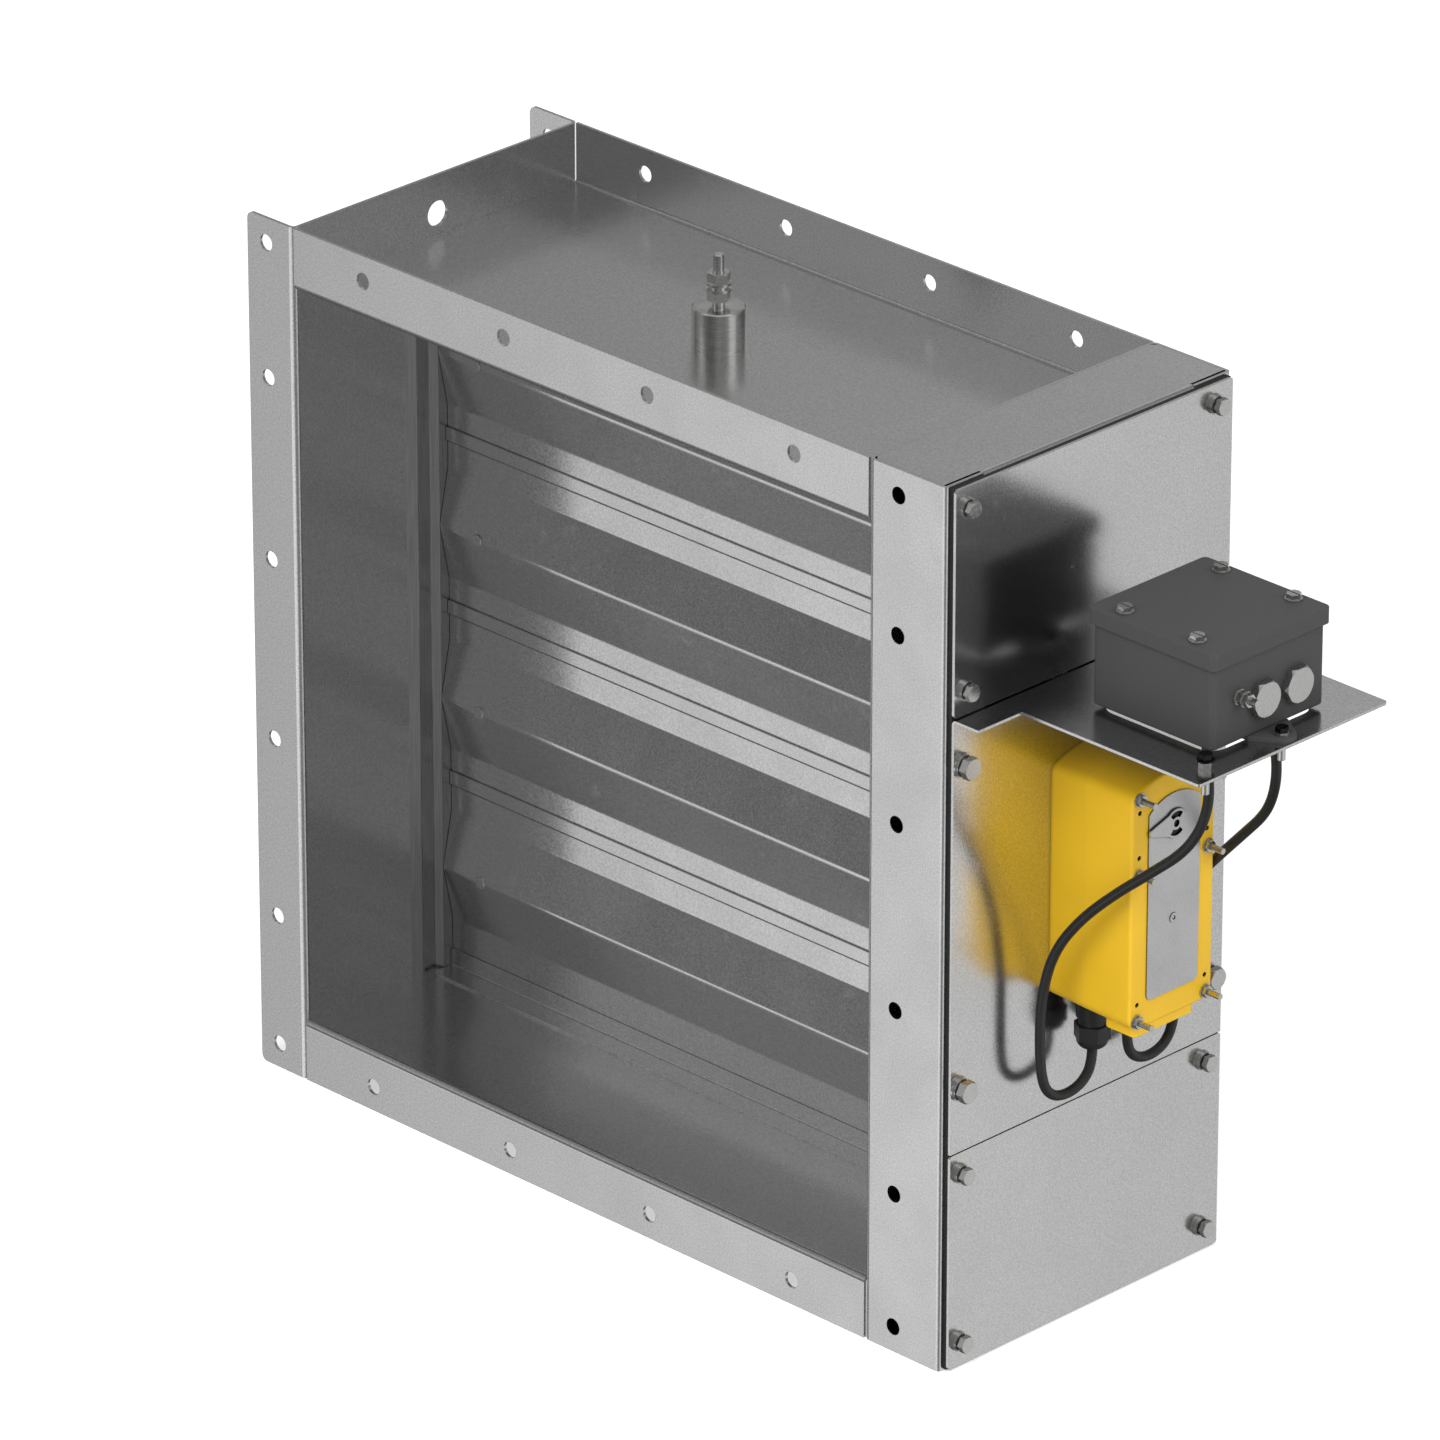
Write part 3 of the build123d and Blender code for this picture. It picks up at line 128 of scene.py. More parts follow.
class DamperSettings(bpy.types.PropertyGroup):
    """Sizes and colours that a user of the damper would change."""

    zinc_colour: FloatVectorProperty(
        name="Zinc colour", description="Colour of the galvanised sheet", subtype="COLOR",
        size=3, min=0, max=1, default=(0.68, 0.68, 0.678))
    zinc_grain: FloatProperty(
        name="Zinc grain", description="Size of the grain of the galvanised sheet", unit="LENGTH",
        precision=5, min=0.0001, default=0.0012)
    zinc_roughness: FloatProperty(
        name="Zinc roughness", description="How dull the galvanised sheet is", subtype="FACTOR",
        min=0, max=1, default=0.19)
    steel_colour: FloatVectorProperty(
        name="Steel colour", description="Colour of bolts, nuts, shafts and cranks", subtype="COLOR",
        size=3, min=0, max=1, default=(0.64, 0.635, 0.62))
    housing_colour: FloatVectorProperty(
        name="Actuator colour", description="Colour of the coated actuator housing", subtype="COLOR",
        size=3, min=0, max=1, default=(0.88, 0.53, 0.018))
    box_colour: FloatVectorProperty(
        name="Terminal box colour", description="Colour of the coated terminal box", subtype="COLOR",
        size=3, min=0, max=1, default=(0.07, 0.07, 0.0715))
    cable_colour: FloatVectorProperty(
        name="Cable colour", description="Colour of the cable jackets", subtype="COLOR",
        size=3, min=0, max=1, default=(0.016, 0.016, 0.016))
    cable_diameter: FloatProperty(
        name="Cable diameter", description="Outer diameter of the two cables", unit="LENGTH",
        precision=4, min=0.002, default=0.0065)
    lamp_power: FloatProperty(
        name="Lamp power", description="Power of the main studio lamp", unit="POWER",
        min=0, default=57)


def settings():
    return bpy.context.scene.damper


class Finish:
    """The node tree of one material, with short ways to add the nodes that the finishes share."""

    def __init__(self, name, metallic, specular=0.5):
        self.material = bpy.data.materials.new(name)
        self.material.use_nodes = True
        self.tree = self.material.node_tree
        self.shader = self.tree.nodes["Principled BSDF"]
        self.shader.inputs["Metallic"].default_value = metallic
        self.shader.inputs["Specular IOR Level"].default_value = specular
        self.place = self.add("ShaderNodeTexCoord").outputs["Object"]

    def add(self, kind, values=None, **options):
        node = self.tree.nodes.new(kind)
        for option, value in options.items():
            setattr(node, option, value)
        for socket, value in (values or {}).items():
            if isinstance(value, bpy.types.NodeSocket):
                self.tree.links.new(value, node.inputs[socket])
            else:
                node.inputs[socket].default_value = value
        return node

    def stretched(self, scale):
        return self.add("ShaderNodeMapping", {"Vector": self.place, "Scale": scale}).outputs["Vector"]

    def noise(self, size, detail=2.0, roughness=0.5, distortion=0.0, place=None):
        """Noise whose marks are about as wide as size, in metres."""
        values = {"Vector": place or self.place, "Scale": 1 / size, "Detail": detail,
                  "Roughness": roughness, "Distortion": distortion}
        return self.add("ShaderNodeTexNoise", values).outputs["Fac"]

    def cells(self, size):
        values = {"Vector": self.place, "Scale": 1 / size}
        return self.add("ShaderNodeTexVoronoi", values).outputs["Distance"]

    def spread(self, value, low, high, to_low=0.0, to_high=1.0):
        values = {"Value": value, "From Min": low, "From Max": high, "To Min": to_low, "To Max": to_high}
        return self.add("ShaderNodeMapRange", values).outputs["Result"]

    def combine(self, operation, first, second):
        return self.add("ShaderNodeMath", {0: first, 1: second}, operation=operation).outputs["Value"]

    def blend(self, share, first, second, mode="MIX"):
        node = self.add("ShaderNodeMix", {0: share}, data_type="RGBA", blend_type=mode)
        for socket, value in ((6, first), (7, second)):
            if isinstance(value, bpy.types.NodeSocket):
                self.tree.links.new(value, node.inputs[socket])
            else:
                node.inputs[socket].default_value = (*value, 1.0)
        return node.outputs[2]

    def rounded_normal(self, radius):
        return self.add("ShaderNodeBevel", {"Radius": radius}, samples=4).outputs["Normal"]

    def edges(self, radius, low, high):
        """A mask that is 1 at sharp edges and 0 on flat faces."""
        face = self.add("ShaderNodeNewGeometry").outputs["Normal"]
        rounded = self.rounded_normal(radius)
        dot = self.add("ShaderNodeVectorMath", {0: face, 1: rounded}, operation="DOT_PRODUCT").outputs["Value"]
        return self.spread(dot, high, low)

    def painted_hole_shade(self, depth, low=0.2, high=0.5):
        """A mask for painted shade, from ambient occlusion: 1 down in small hollows and slots and 0 on open
        faces.
        """
        open_share = self.add("ShaderNodeAmbientOcclusion", {"Distance": depth}, samples=8).outputs["AO"]
        return self.spread(open_share, high, low)

    def bump(self, height, depth, strength=1.0, normal=None):
        values = {"Height": height, "Distance": depth, "Strength": strength}
        if normal is not None:
            values["Normal"] = normal
        return self.add("ShaderNodeBump", values).outputs["Normal"]

    def wire(self, colour=None, roughness=None, normal=None):
        for socket, value in (("Base Color", colour), ("Roughness", roughness), ("Normal", normal)):
            if value is not None:
                self.tree.links.new(value, self.shader.inputs[socket])
        return self.material


def tinted(colour, share):
    return tuple(min(1.0, channel * share) for channel in colour)


def galvanised_finish():
    """Zinc-coated sheet: fine grain, faint clouds and stains, and a few small dark pits."""
    colour = settings().zinc_colour
    grain_size = settings().zinc_grain
    roughness = settings().zinc_roughness
    finish = Finish("zinc_coated_sheet", metallic=1.0)
    grain = finish.noise(grain_size, detail=3.0, roughness=0.65)
    cloud = finish.noise(0.06, detail=3.0, roughness=0.55, distortion=0.4)
    stain = finish.spread(finish.noise(0.016, detail=2.0), 0.66, 0.78)
    pit_size = finish.spread(finish.noise(0.035, detail=1.0), 0.5, 0.75, 0.0, 0.05)
    pit = finish.combine("LESS_THAN", finish.cells(0.017), pit_size)
    speck = finish.spread(finish.noise(grain_size * 2.2, detail=3.0), 0.52, 0.72, 0.0, 0.3)
    shade = finish.blend(finish.spread(grain, 0.34, 0.66), tinted(colour, 0.84), tinted(colour, 1.18))
    shade = finish.blend(speck, shade, tinted(colour, 0.8))
    shade = finish.blend(finish.spread(cloud, 0.35, 0.65, 0.0, 0.1), shade, tinted(colour, 0.85))
    shade = finish.blend(finish.combine("MULTIPLY", stain, 0.18), shade, tinted(colour, 1.25))
    shade = finish.blend(finish.combine("MULTIPLY", pit, 0.45), shade, tinted(colour, 0.3))
    rough = finish.combine("ADD", finish.spread(cloud, 0.3, 0.7, roughness - 0.02, roughness + 0.03),
                           finish.spread(grain, 0.3, 0.7, -0.02, 0.03))
    rough = finish.combine("ADD", rough, finish.combine("MULTIPLY", stain, 0.06))
    height = finish.combine("SUBTRACT", grain, finish.combine("MULTIPLY", pit, 0.6))
    normal = finish.bump(height, 0.000022, 0.5, finish.rounded_normal(0.0004))
    return finish.wire(shade, rough, normal)


def sprung_strip_finish():
    """Cold-rolled strip with faint draw lines along its length."""
    finish = Finish("sprung_strip", metallic=1.0)
    lines = finish.noise(0.0006, detail=2.0, place=finish.stretched((1.0, 1.0, 0.02)))
    cloud = finish.noise(0.05, detail=2.0)
    shade = finish.blend(finish.spread(lines, 0.3, 0.7), (0.34, 0.34, 0.34), (0.46, 0.46, 0.46))
    rough = finish.spread(cloud, 0.3, 0.7, 0.2, 0.32)
    return finish.wire(shade, rough, finish.bump(lines, 0.00003, 0.5))


def plated_finish(name="zinc_plated_steel", axis="Z", black_above=None):
    """Zinc-plated steel with sharp edges lightened as a painted highlight; black past a place on an axis, if
    one is given.
    """
    colour = settings().steel_colour
    finish = Finish(name, metallic=1.0)
    mottle = finish.noise(0.0026, detail=3.0, roughness=0.6)
    painted_edge_highlight = finish.edges(0.0004, 0.86, 0.995)
    shade = finish.blend(finish.spread(mottle, 0.3, 0.7), tinted(colour, 0.91), tinted(colour, 1.09))
    # painted highlight: sharp edges made lighter in colour
    shade = finish.blend(finish.combine("MULTIPLY", painted_edge_highlight, 0.4), shade, tinted(colour, 1.35))
    if black_above is not None:
        along = finish.add("ShaderNodeSeparateXYZ", {"Vector": finish.place}).outputs[axis]
        shade = finish.blend(finish.combine("GREATER_THAN", along, black_above), shade, BLACKED_STEEL)
    rough = finish.spread(mottle, 0.3, 0.7, 0.2, 0.3)
    return finish.wire(shade, rough, finish.bump(mottle, 0.000008, 0.5, finish.rounded_normal(0.00025)))


def blacked_bolt_finish():
    """Bolts of the shelf: black heads, plated below."""
    return plated_finish("blacked_head_steel", "Z", BOLT_HEADS_FROM)


def drive_shaft_finish():
    """Drive shaft: plated, with a blacked end under the position indicator."""
    return plated_finish("blacked_end_steel", "X", SHAFT_END_FROM)


def turned_finish():
    """Steel turned on a lathe: fine rings across the upright axis of the earth boss."""
    finish = Finish("lathe_turned_steel", metallic=1.0)
    rings = finish.noise(0.00035, detail=2.0, place=finish.stretched((0.04, 0.04, 1.0)))
    cloud = finish.noise(0.006, detail=2.0)
    shade = finish.blend(finish.spread(rings, 0.3, 0.7), (0.6, 0.595, 0.585), (0.82, 0.815, 0.805))
    rough = finish.combine("ADD", finish.spread(cloud, 0.3, 0.7, 0.09, 0.15),
                           finish.spread(rings, 0.3, 0.7, 0.0, 0.05))
    return finish.wire(shade, rough, finish.bump(rings, 0.000003, 0.5, finish.rounded_normal(0.0003)))


def bronze_finish():
    finish = Finish("bush_bronze", metallic=1.0)
    pores = finish.noise(0.0005, detail=3.0, roughness=0.7)
    cloud = finish.noise(0.01, detail=2.0)
    shade = finish.blend(finish.spread(cloud, 0.35, 0.65), (0.42, 0.27, 0.11), (0.56, 0.38, 0.17))
    rough = finish.spread(pores, 0.3, 0.7, 0.3, 0.48)
    return finish.wire(shade, rough, finish.bump(pores, 0.00004, 0.6))


def rubber_finish():
    """Moulded seals and gasket strip: dull black with a fine dusty grain."""
    finish = Finish("seal_rubber", metallic=0.0, specular=0.35)
    grain = finish.noise(0.0007, detail=3.0, roughness=0.6)
    dust = finish.noise(0.02, detail=3.0)
    shade = finish.blend(finish.spread(grain, 0.3, 0.7), (0.012, 0.012, 0.012), (0.028, 0.028, 0.028))
    shade = finish.blend(finish.spread(dust, 0.45, 0.75, 0.0, 0.3), shade, (0.05, 0.048, 0.046))
    rough = finish.spread(dust, 0.3, 0.7, 0.5, 0.68)
    return finish.wire(shade, rough, finish.bump(grain, 0.00005, 0.5))


def cable_finish():
    """Cable jacket: smooth extruded plastic with a very fine skin and faint scuffs."""
    colour = settings().cable_colour
    finish = Finish("cable_jacket", metallic=0.0, specular=0.45)
    skin = finish.noise(0.0004, detail=2.0)
    scuff = finish.noise(0.012, detail=4.0, roughness=0.65)
    shade = finish.blend(finish.spread(skin, 0.3, 0.7), tinted(colour, 0.8), tinted(colour, 1.3))
    shade = finish.blend(finish.spread(scuff, 0.5, 0.8, 0.0, 0.35), shade, tinted(colour, 2.4))
    rough = finish.spread(scuff, 0.3, 0.7, 0.34, 0.46)
    return finish.wire(shade, rough, finish.bump(skin, 0.00003, 0.5))


def yellow_finish():
    """Powder coat on the actuator: fine orange peel, with sharp edges made paler as a painted highlight."""
    colour = settings().housing_colour
    finish = Finish("yellow_coat", metallic=0.0, specular=0.4)
    peel = finish.noise(0.0016, detail=2.0, roughness=0.45)
    cloud = finish.noise(0.045, detail=2.0)
    painted_edge_highlight = finish.edges(0.0012, 0.8, 0.98)
    shade = finish.blend(finish.spread(cloud, 0.3, 0.7), tinted(colour, 0.96), tinted(colour, 1.04))
    shade = finish.blend(finish.spread(peel, 0.3, 0.7, 0.0, 0.06), shade, tinted(colour, 0.75))
    # painted highlight: sharp edges made paler
    shade = finish.blend(finish.combine("MULTIPLY", painted_edge_highlight, 0.25), shade, (0.95, 0.68, 0.12))
    # painted shade: hollows, slots and crevices darkened where ambient occlusion is low
    shade = finish.blend(finish.painted_hole_shade(0.006, 0.3, 0.6), shade, PAINTED_SHADE_IN_CASTING_HOLES)
    rough = finish.spread(peel, 0.3, 0.7, 0.34, 0.42)
    return finish.wire(shade, rough, finish.bump(peel, 0.00005, 0.5, finish.rounded_normal(0.0006)))


def plate_finish():
    """Anodised face plate and indicator: grey with a fine blasted grain."""
    finish = Finish("anodised_plate", metallic=1.0)
    grain = finish.noise(0.0005, detail=3.0, roughness=0.7)
    cloud = finish.noise(0.02, detail=2.0)
    shade = finish.blend(finish.spread(grain, 0.3, 0.7), (0.52, 0.52, 0.525), (0.94, 0.94, 0.945))
    speck = finish.spread(finish.noise(0.0011, detail=2.0), 0.58, 0.72, 0.0, 0.35)
    shade = finish.blend(speck, shade, PLATE_SPECK)
    # painted shade: small hollows and slots darkened where ambient occlusion is low
    shade = finish.blend(finish.painted_hole_shade(0.003, 0.45, 0.85), shade, PAINTED_SHADE_IN_PLATE_HOLES)
    rough = finish.spread(cloud, 0.3, 0.7, 0.36, 0.46)
    return finish.wire(shade, rough, finish.bump(grain, 0.00004, 0.6, finish.rounded_normal(0.0002)))


def black_plastic_finish():
    finish = Finish("gland_plastic", metallic=0.0, specular=0.45)
    grain = finish.noise(0.0006, detail=2.0)
    cloud = finish.noise(0.008, detail=2.0)
    painted_edge_highlight = finish.edges(0.0006, 0.8, 0.98)
    shade = finish.blend(finish.spread(grain, 0.3, 0.7), (0.010, 0.010, 0.011), (0.020, 0.020, 0.021))
    # painted highlight: sharp edges made lighter in colour
    shade = finish.blend(finish.combine("MULTIPLY", painted_edge_highlight, 0.3), shade, (0.06, 0.06, 0.06))
    rough = finish.spread(cloud, 0.3, 0.7, 0.36, 0.46)
    return finish.wire(shade, rough, finish.bump(grain, 0.00003, 0.5, finish.rounded_normal(0.0004)))


def box_finish():
    """Textured dark powder coat on the terminal box."""
    colour = settings().box_colour
    finish = Finish("anthracite_coat", metallic=0.0, specular=0.35)
    peel = finish.noise(0.0011, detail=3.0, roughness=0.6)
    cloud = finish.noise(0.03, detail=2.0)
    painted_edge_highlight = finish.edges(0.0008, 0.8, 0.98)
    shade = finish.blend(finish.spread(peel, 0.3, 0.7), tinted(colour, 0.88), tinted(colour, 1.12))
    shade = finish.blend(finish.spread(cloud, 0.3, 0.7, 0.0, 0.15), shade, tinted(colour, 0.85))
    # painted highlight: sharp edges made lighter in colour
    shade = finish.blend(finish.combine("MULTIPLY", painted_edge_highlight, 0.35), shade, tinted(colour, 1.7))
    rough = finish.spread(peel, 0.3, 0.7, 0.46, 0.58)
    return finish.wire(shade, rough, finish.bump(peel, 0.00007, 0.6, finish.rounded_normal(0.0005)))


def dress(names, material):
    """Gives CAD nodes their finished material."""
    for name in names:
        mesh = nodes[name].data
        mesh.materials.clear()
        mesh.materials.append(material)


def blade_nodes(*kinds):
    return [f"blade_{number}_{kind}" for number in BLADES for kind in kinds]


def found_or_made(name, make):
    return bpy.data.materials.get(name) or make()


class DAMPER_OT_casing(bpy.types.Operator):
    """Finish the channels and the housing caps in galvanised sheet"""
    bl_idname = "damper.casing"
    bl_label = "Casing"

    def execute(self, context):
        sheet = found_or_made("zinc_coated_sheet", galvanised_finish)
        dress(["left_side_channel", "right_side_wall", "housing_walls", "top_channel", "bottom_channel",
               "housing_caps"], sheet)
        return {"FINISHED"}


class DAMPER_OT_covers(bpy.types.Operator):
    """Finish the covers and the actuator bracket in galvanised sheet"""
    bl_idname = "damper.covers"
    bl_label = "Covers"

    def execute(self, context):
        sheet = found_or_made("zinc_coated_sheet", galvanised_finish)
        dress(["upper_cover", "lower_cover", "actuator_bracket"], sheet)
        return {"FINISHED"}


class DAMPER_OT_gaskets(bpy.types.Operator):
    """Finish the gaskets, the sealing rings and the cable grommets in black rubber"""
    bl_idname = "damper.gaskets"
    bl_label = "Gaskets"

    def execute(self, context):
        rubber = found_or_made("seal_rubber", rubber_finish)
        dress(["cover_gaskets", "housing_seal_rings", "cable_grommets"], rubber)
        return {"FINISHED"}


class DAMPER_OT_fasteners(bpy.types.Operator):
    """Finish the bolts, screws, washers and nuts in zinc plate"""
    bl_idname = "damper.fasteners"
    bl_label = "Fasteners"

    def execute(self, context):
        plated = found_or_made("zinc_plated_steel", plated_finish)
        dress(["cover_bolts", "bracket_bolts", "housing_washers", "housing_weld_nuts", "actuator_screws",
               "actuator_nuts"], plated)
        dress(["shelf_bolts"], found_or_made("blacked_head_steel", blacked_bolt_finish))
        return {"FINISHED"}


class DAMPER_OT_stops_and_seals(bpy.types.Operator):
    """Finish the blade stops and the sprung side seals"""
    bl_idname = "damper.stops_and_seals"
    bl_label = "Stops and seals"

    def execute(self, context):
        dress(["blade_stops"], found_or_made("zinc_coated_sheet", galvanised_finish))
        dress(["left_side_seal", "right_side_seal"], found_or_made("sprung_strip", sprung_strip_finish))
        return {"FINISHED"}


class DAMPER_OT_blades(bpy.types.Operator):
    """Finish the blade skins and their rivets in galvanised sheet"""
    bl_idname = "damper.blades"
    bl_label = "Blades"

    def execute(self, context):
        sheet = found_or_made("zinc_coated_sheet", galvanised_finish)
        dress(blade_nodes("front_skin", "back_skin", "rivets"), sheet)
        return {"FINISHED"}


class DAMPER_OT_linkage(bpy.types.Operator):
    """Finish the shafts, cranks, link bar and bushes"""
    bl_idname = "damper.linkage"
    bl_label = "Linkage"

    def execute(self, context):
        dress(blade_nodes("shaft", "crank") + ["link_bar"], found_or_made("zinc_plated_steel", plated_finish))
        dress(["blade_3_shaft"], found_or_made("blacked_end_steel", drive_shaft_finish))
        dress(["shaft_bushes"], found_or_made("bush_bronze", bronze_finish))
        return {"FINISHED"}


class DAMPER_OT_earth_connection(bpy.types.Operator):
    """Finish the earth boss, its stud and its nuts in turned steel"""
    bl_idname = "damper.earth_connection"
    bl_label = "Earth connection"

    def execute(self, context):
        turned = found_or_made("lathe_turned_steel", turned_finish)
        dress(["earth_boss", "earth_stud", "earth_stud_nuts"], turned)
        return {"FINISHED"}


class DAMPER_OT_actuator(bpy.types.Operator):
    """Finish the actuator housing, its face plate and the position indicator"""
    bl_idname = "damper.actuator"
    bl_label = "Actuator"

    def execute(self, context):
        dress(["actuator_base", "actuator_cover"], found_or_made("yellow_coat", yellow_finish))
        dress(["actuator_front_plate", "position_indicator"], found_or_made("anodised_plate", plate_finish))
        return {"FINISHED"}


class DAMPER_OT_glands(bpy.types.Operator):
    """Finish the cable glands in black plastic"""
    bl_idname = "damper.glands"
    bl_label = "Cable glands"

    def execute(self, context):
        plastic = found_or_made("gland_plastic", black_plastic_finish)
        dress(["cable_gland_bodies", "cable_gland_caps"], plastic)
        return {"FINISHED"}


def cable_curve(name, route, diameter, material):
    """A round cable whose centreline is a smooth curve with the route as its control points."""
    curve = bpy.data.curves.new(name, "CURVE")
    curve.dimensions = "3D"
    curve.bevel_depth = diameter / 2
    curve.bevel_resolution = 8
    curve.resolution_u = 12
    curve.use_fill_caps = True
    spline = curve.splines.new("NURBS")
    spline.points.add(len(route) - 1)
    for point, place in zip(spline.points, route):
        point.co = (*place, 1.0)
    spline.order_u = 3
    spline.use_endpoint_u = True
    curve.materials.append(material)
    cable = bpy.data.objects.new(name, curve)
    bpy.context.scene.collection.objects.link(cable)
    return cable


class DAMPER_OT_cables(bpy.types.Operator):
    """Run the two cables from the terminal box to the actuator"""
    bl_idname = "damper.cables"
    bl_label = "Cables"

    def execute(self, context):
        jacket = found_or_made("cable_jacket", cable_finish)
        diameter = settings().cable_diameter
        for side, route, length in (("front", FRONT_CABLE_ROUTE, FRONT_CABLE_LENGTH),
                                    ("back", BACK_CABLE_ROUTE, BACK_CABLE_LENGTH)):
            cable = cable_curve(f"{side}_cable_jacket", route, diameter, jacket)
            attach(cable, "casing")
            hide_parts(f"{side}_cable")
        return {"FINISHED"}


class DAMPER_OT_terminal_box(bpy.types.Operator):
    """Finish the terminal box, its lid, screws, plugs and earth fitting"""
    bl_idname = "damper.terminal_box"
    bl_label = "Terminal box"

    def execute(self, context):
        dress(["terminal_box_body", "terminal_box_lid"], found_or_made("anthracite_coat", box_finish))
        dress(["terminal_box_lid_screws", "terminal_box_plugs", "terminal_box_earth_screw"],
              found_or_made("zinc_plated_steel", plated_finish))
        return {"FINISHED"}


def direction_to(azimuth, elevation):
    """The direction from the object to a place at that azimuth, 0 in front and 90 at the actuator side."""
    a, e = radians(azimuth), radians(elevation)
    return Vector((sin(a) * cos(e), -cos(a) * cos(e), sin(e)))


def photo_camera():
    camera = bpy.data.objects.new("photo_camera", bpy.data.cameras.new("photo_camera"))
    camera.data.sensor_width = 36.0
    camera.data.lens = CAMERA_LENS
    camera.data.clip_start = 0.1
    camera.data.clip_end = 100.0
    camera.location = CAMERA_PLACE
    camera.rotation_mode = "QUATERNION"
    camera.rotation_quaternion = (-direction_to(CAMERA_AZIMUTH, CAMERA_ELEVATION)).to_track_quat("-Z", "Y")
    bpy.context.scene.collection.objects.link(camera)
    bpy.context.scene.camera = camera


def soft_lamp(name, azimuth, elevation, distance, width, power):
    lamp = bpy.data.objects.new(name, bpy.data.lights.new(name, "AREA"))
    lamp.data.shape = "SQUARE"
    lamp.data.size = width
    lamp.data.energy = power
    lamp.visible_glossy = False
    away = direction_to(azimuth, elevation)
    lamp.location = Vector(LAMPS_AIM_AT) + away * distance
    lamp.rotation_mode = "QUATERNION"
    lamp.rotation_quaternion = (-away).to_track_quat("-Z", "Y")
    bpy.context.scene.collection.objects.link(lamp)


def seen_directly(tree):
    """The light path, and 1 for rays from the camera, off gloss and through glass, 0 for light on things."""
    path = tree.nodes.new("ShaderNodeLightPath")
    share = path.outputs["Is Camera Ray"]
    for output in ("Is Glossy Ray", "Is Transmission Ray"):
        node = tree.nodes.new("ShaderNodeMath")
        node.operation = "MAXIMUM"
        tree.links.new(share, node.inputs[0])
        tree.links.new(path.outputs[output], node.inputs[1])
        share = node.outputs["Value"]
    return path, share


def floor_material():
    """White floor that keeps the shadow: lit white with a share of its own white added where it is seen."""
    material = bpy.data.materials.new("studio_floor")
    material.use_nodes = True
    tree = material.node_tree
    tree.nodes.clear()
    _, share = seen_directly(tree)
    white = tree.nodes.new("ShaderNodeBsdfDiffuse")
    white.inputs["Color"].default_value = FLOOR_WHITE
    glow = tree.nodes.new("ShaderNodeEmission")
    tree.links.new(share, glow.inputs["Strength"])
    glow.inputs["Color"].default_value = FLOOR_GLOW
    both = tree.nodes.new("ShaderNodeAddShader")
    output = tree.nodes.new("ShaderNodeOutputMaterial")
    tree.links.new(white.outputs[0], both.inputs[0])
    tree.links.new(glow.outputs[0], both.inputs[1])
    tree.links.new(both.outputs[0], output.inputs["Surface"])
    return material


def turning_ramp(tree, turn, stops):
    """A grey level for each direction, from stops of an angle in degrees and a level."""
    ramp = tree.nodes.new("ShaderNodeValToRGB")
    tree.links.new(turn, ramp.inputs["Fac"])
    elements = ramp.color_ramp.elements
    elements.remove(elements[1])
    elements[0].position = (stops[0][0] + 180) / 360
    for angle, _ in stops[1:]:
        elements.new((angle + 180) / 360)
    for element, (_, level) in zip(elements, stops):
        element.color = (level, level, level, 1.0)
    return ramp.outputs["Color"]


def angle_share(tree, operation, *values):
    """An angle worked out by a math node, as a share of a full turn with 0.5 at zero."""
    angle = tree.nodes.new("ShaderNodeMath")
    angle.operation = operation
    for socket, value in zip(angle.inputs, values):
        tree.links.new(value, socket)
    share = tree.nodes.new("ShaderNodeMapRange")
    tree.links.new(angle.outputs["Value"], share.inputs["Value"])
    share.inputs["From Min"].default_value = -pi
    share.inputs["From Max"].default_value = pi
    return share.outputs["Result"]


def colour_mix(tree, share, first, second):
    mixed = tree.nodes.new("ShaderNodeMix")
    mixed.data_type = "RGBA"
    for socket, value in ((0, share), (6, first), (7, second)):
        tree.links.new(value, mixed.inputs[socket])
    return mixed.outputs[2]


def studio_world():
    """White where the camera sees it, grey studio walls for gloss, and a plain grey light on the object."""
    world = bpy.data.worlds.new("studio")
    bpy.context.scene.world = world
    world.use_nodes = True
    tree = world.node_tree
    tree.nodes.clear()
    path, share = seen_directly(tree)
    light = tree.nodes.new("ShaderNodeBackground")
    light.inputs["Color"].default_value = WORLD_LIGHT
    place = tree.nodes.new("ShaderNodeTexCoord")
    split = tree.nodes.new("ShaderNodeSeparateXYZ")
    tree.links.new(place.outputs["Generated"], split.inputs[0])
    height = angle_share(tree, "ARCSINE", split.outputs["Z"])
    round_about = angle_share(tree, "ARCTAN2", split.outputs["Y"], split.outputs["X"])
    plain = turning_ramp(tree, height, PLAIN_LEVELS)
    in_band = turning_ramp(tree, height, BAND_HEIGHTS)
    band = turning_ramp(tree, round_about, BAND_LEVELS)
    at_horizon = turning_ramp(tree, height, HORIZON_HEIGHTS)
    horizon = turning_ramp(tree, round_about, HORIZON_LEVELS)
    overhead = turning_ramp(tree, height, OVERHEAD_HEIGHTS)
    upper = turning_ramp(tree, round_about, UPPER_LEVELS)
    studio = colour_mix(tree, in_band, plain, band)
    studio = colour_mix(tree, at_horizon, studio, horizon)
    studio = colour_mix(tree, overhead, studio, upper)
    white = tree.nodes.new("ShaderNodeMix")
    white.data_type = "RGBA"
    tree.links.new(path.outputs["Is Camera Ray"], white.inputs[0])
    tree.links.new(studio, white.inputs[6])
    white.inputs[7].default_value = (1.0, 1.0, 1.0, 1.0)
    seen = tree.nodes.new("ShaderNodeBackground")
    tree.links.new(white.outputs[2], seen.inputs["Color"])
    mixed = tree.nodes.new("ShaderNodeMixShader")
    output = tree.nodes.new("ShaderNodeOutputWorld")
    tree.links.new(share, mixed.inputs[0])
    tree.links.new(light.outputs[0], mixed.inputs[1])
    tree.links.new(seen.outputs[0], mixed.inputs[2])
    tree.links.new(mixed.outputs[0], output.inputs["Surface"])


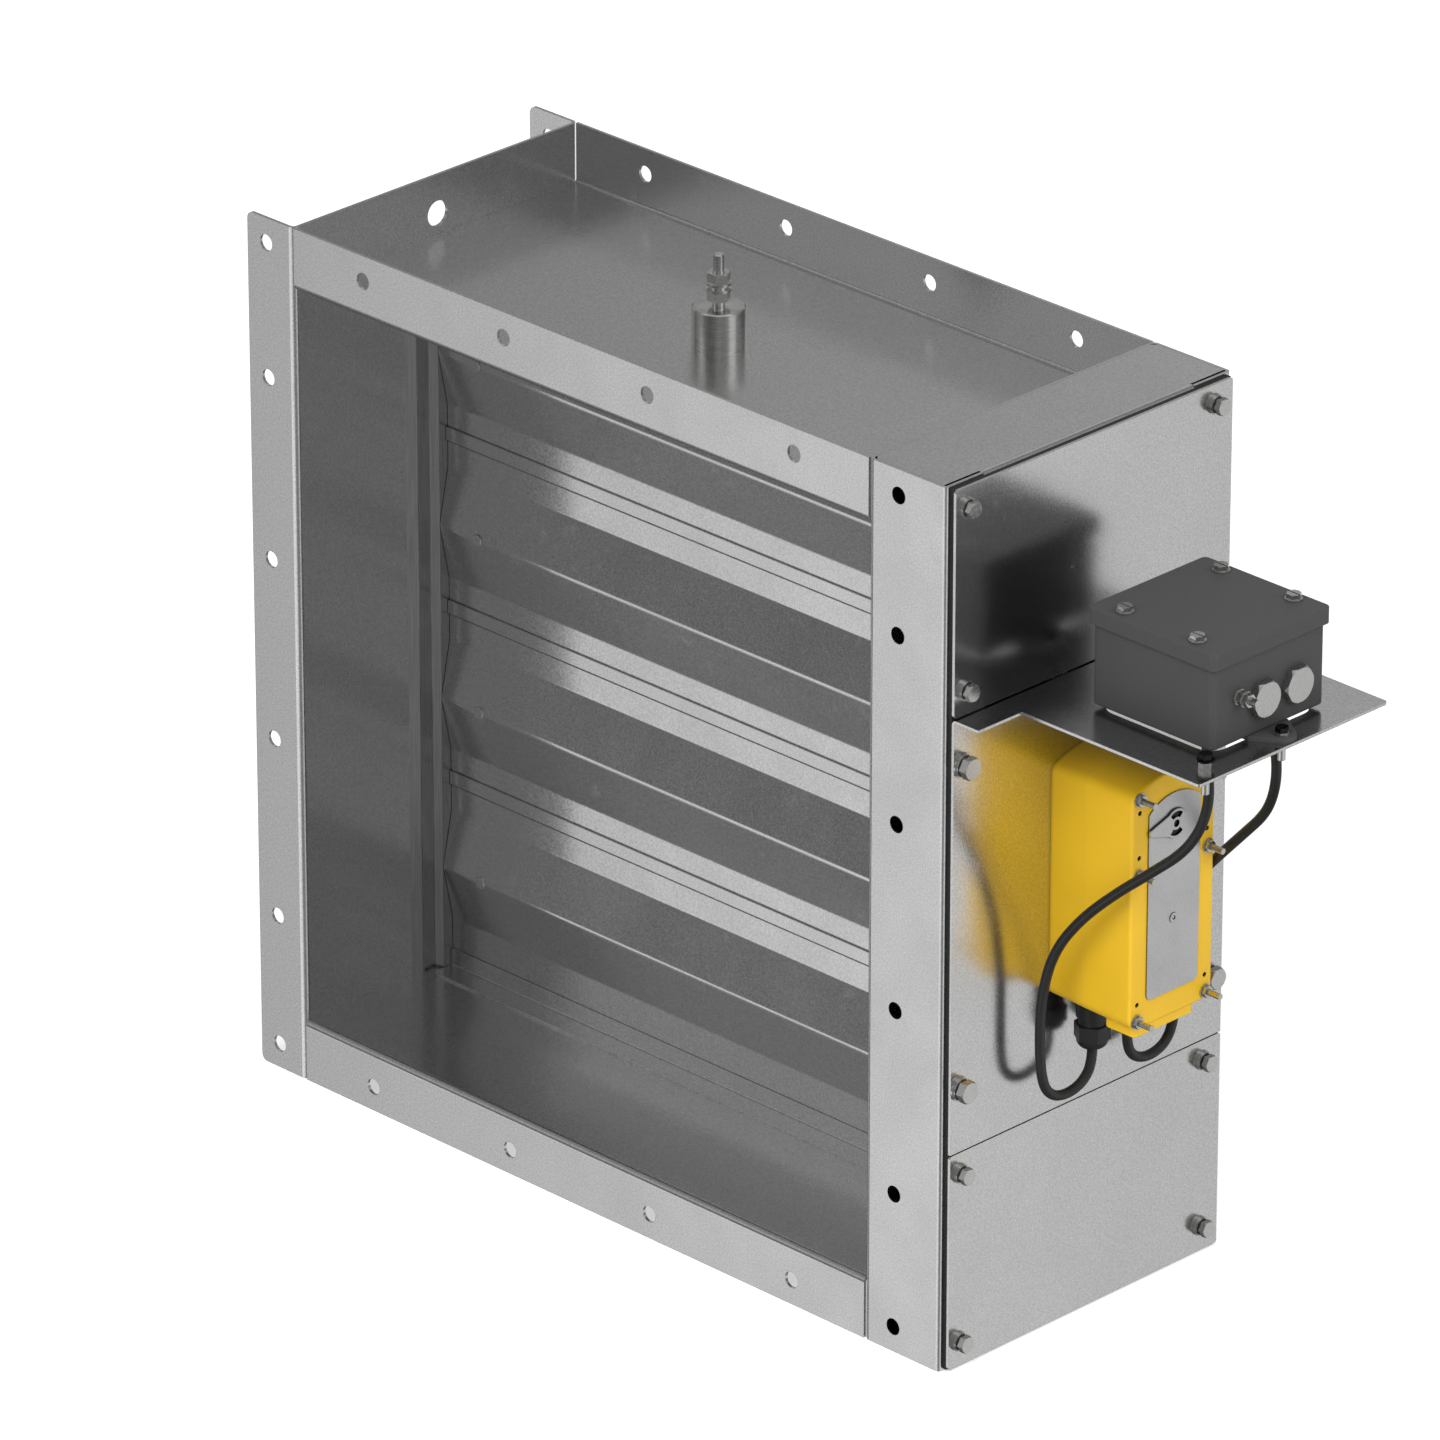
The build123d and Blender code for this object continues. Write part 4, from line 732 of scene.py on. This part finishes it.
class DAMPER_OT_stage(bpy.types.Operator):
    """Set up the floor, the lamps, the world and the camera"""
    bl_idname = "damper.stage"
    bl_label = "Studio"

    def execute(self, context):
        mesh = bpy.data.meshes.new("floor")
        corners = [(FLOOR_REACH * x, FLOOR_REACH * y, cad_low.z)
                   for x, y in ((-1, -1), (1, -1), (1, 1), (-1, 1))]
        mesh.from_pydata(corners, [], [(0, 1, 2, 3)])
        mesh.materials.append(floor_material())
        floor = bpy.data.objects.new("floor", mesh)
        floor.visible_glossy = False
        context.scene.collection.objects.link(floor)
        for name, azimuth, elevation, distance, width, share in LAMPS:
            soft_lamp(name, azimuth, elevation, distance, width, settings().lamp_power * share)
        studio_world()
        photo_camera()
        context.scene.view_settings.view_transform = "Standard"
        return {"FINISHED"}


class DAMPER_PT_sidebar(bpy.types.Panel):
    """Buttons for each group of pieces and the values that they use"""
    bl_idname = "DAMPER_PT_sidebar"
    bl_label = "Control damper"
    bl_space_type = "VIEW_3D"
    bl_region_type = "UI"
    bl_category = "Damper"

    def draw(self, context):
        column = self.layout.column()
        for name in DamperSettings.__annotations__:
            column.prop(context.scene.damper, name)
        for operator in OPERATORS:
            column.operator(operator.bl_idname)


OPERATORS = (
    DAMPER_OT_stage, DAMPER_OT_cables, DAMPER_OT_casing, DAMPER_OT_covers, DAMPER_OT_gaskets,
    DAMPER_OT_fasteners, DAMPER_OT_stops_and_seals, DAMPER_OT_blades, DAMPER_OT_linkage,
    DAMPER_OT_earth_connection, DAMPER_OT_actuator, DAMPER_OT_glands, DAMPER_OT_terminal_box,
)


def register():
    for item in (DamperSettings, *OPERATORS, DAMPER_PT_sidebar):
        bpy.utils.register_class(item)
    bpy.types.Scene.damper = PointerProperty(type=DamperSettings)


def unregister():
    del bpy.types.Scene.damper
    for item in (DAMPER_PT_sidebar, *reversed(OPERATORS), DamperSettings):
        bpy.utils.unregister_class(item)


def main():
    register()
    bpy.ops.damper.stage()
    bpy.ops.damper.cables()
    bpy.ops.damper.casing()
    bpy.ops.damper.covers()
    bpy.ops.damper.gaskets()
    bpy.ops.damper.fasteners()
    bpy.ops.damper.stops_and_seals()
    bpy.ops.damper.blades()
    bpy.ops.damper.linkage()
    bpy.ops.damper.earth_connection()
    bpy.ops.damper.actuator()
    bpy.ops.damper.glands()
    bpy.ops.damper.terminal_box()


if __name__ == "__main__":
    main()
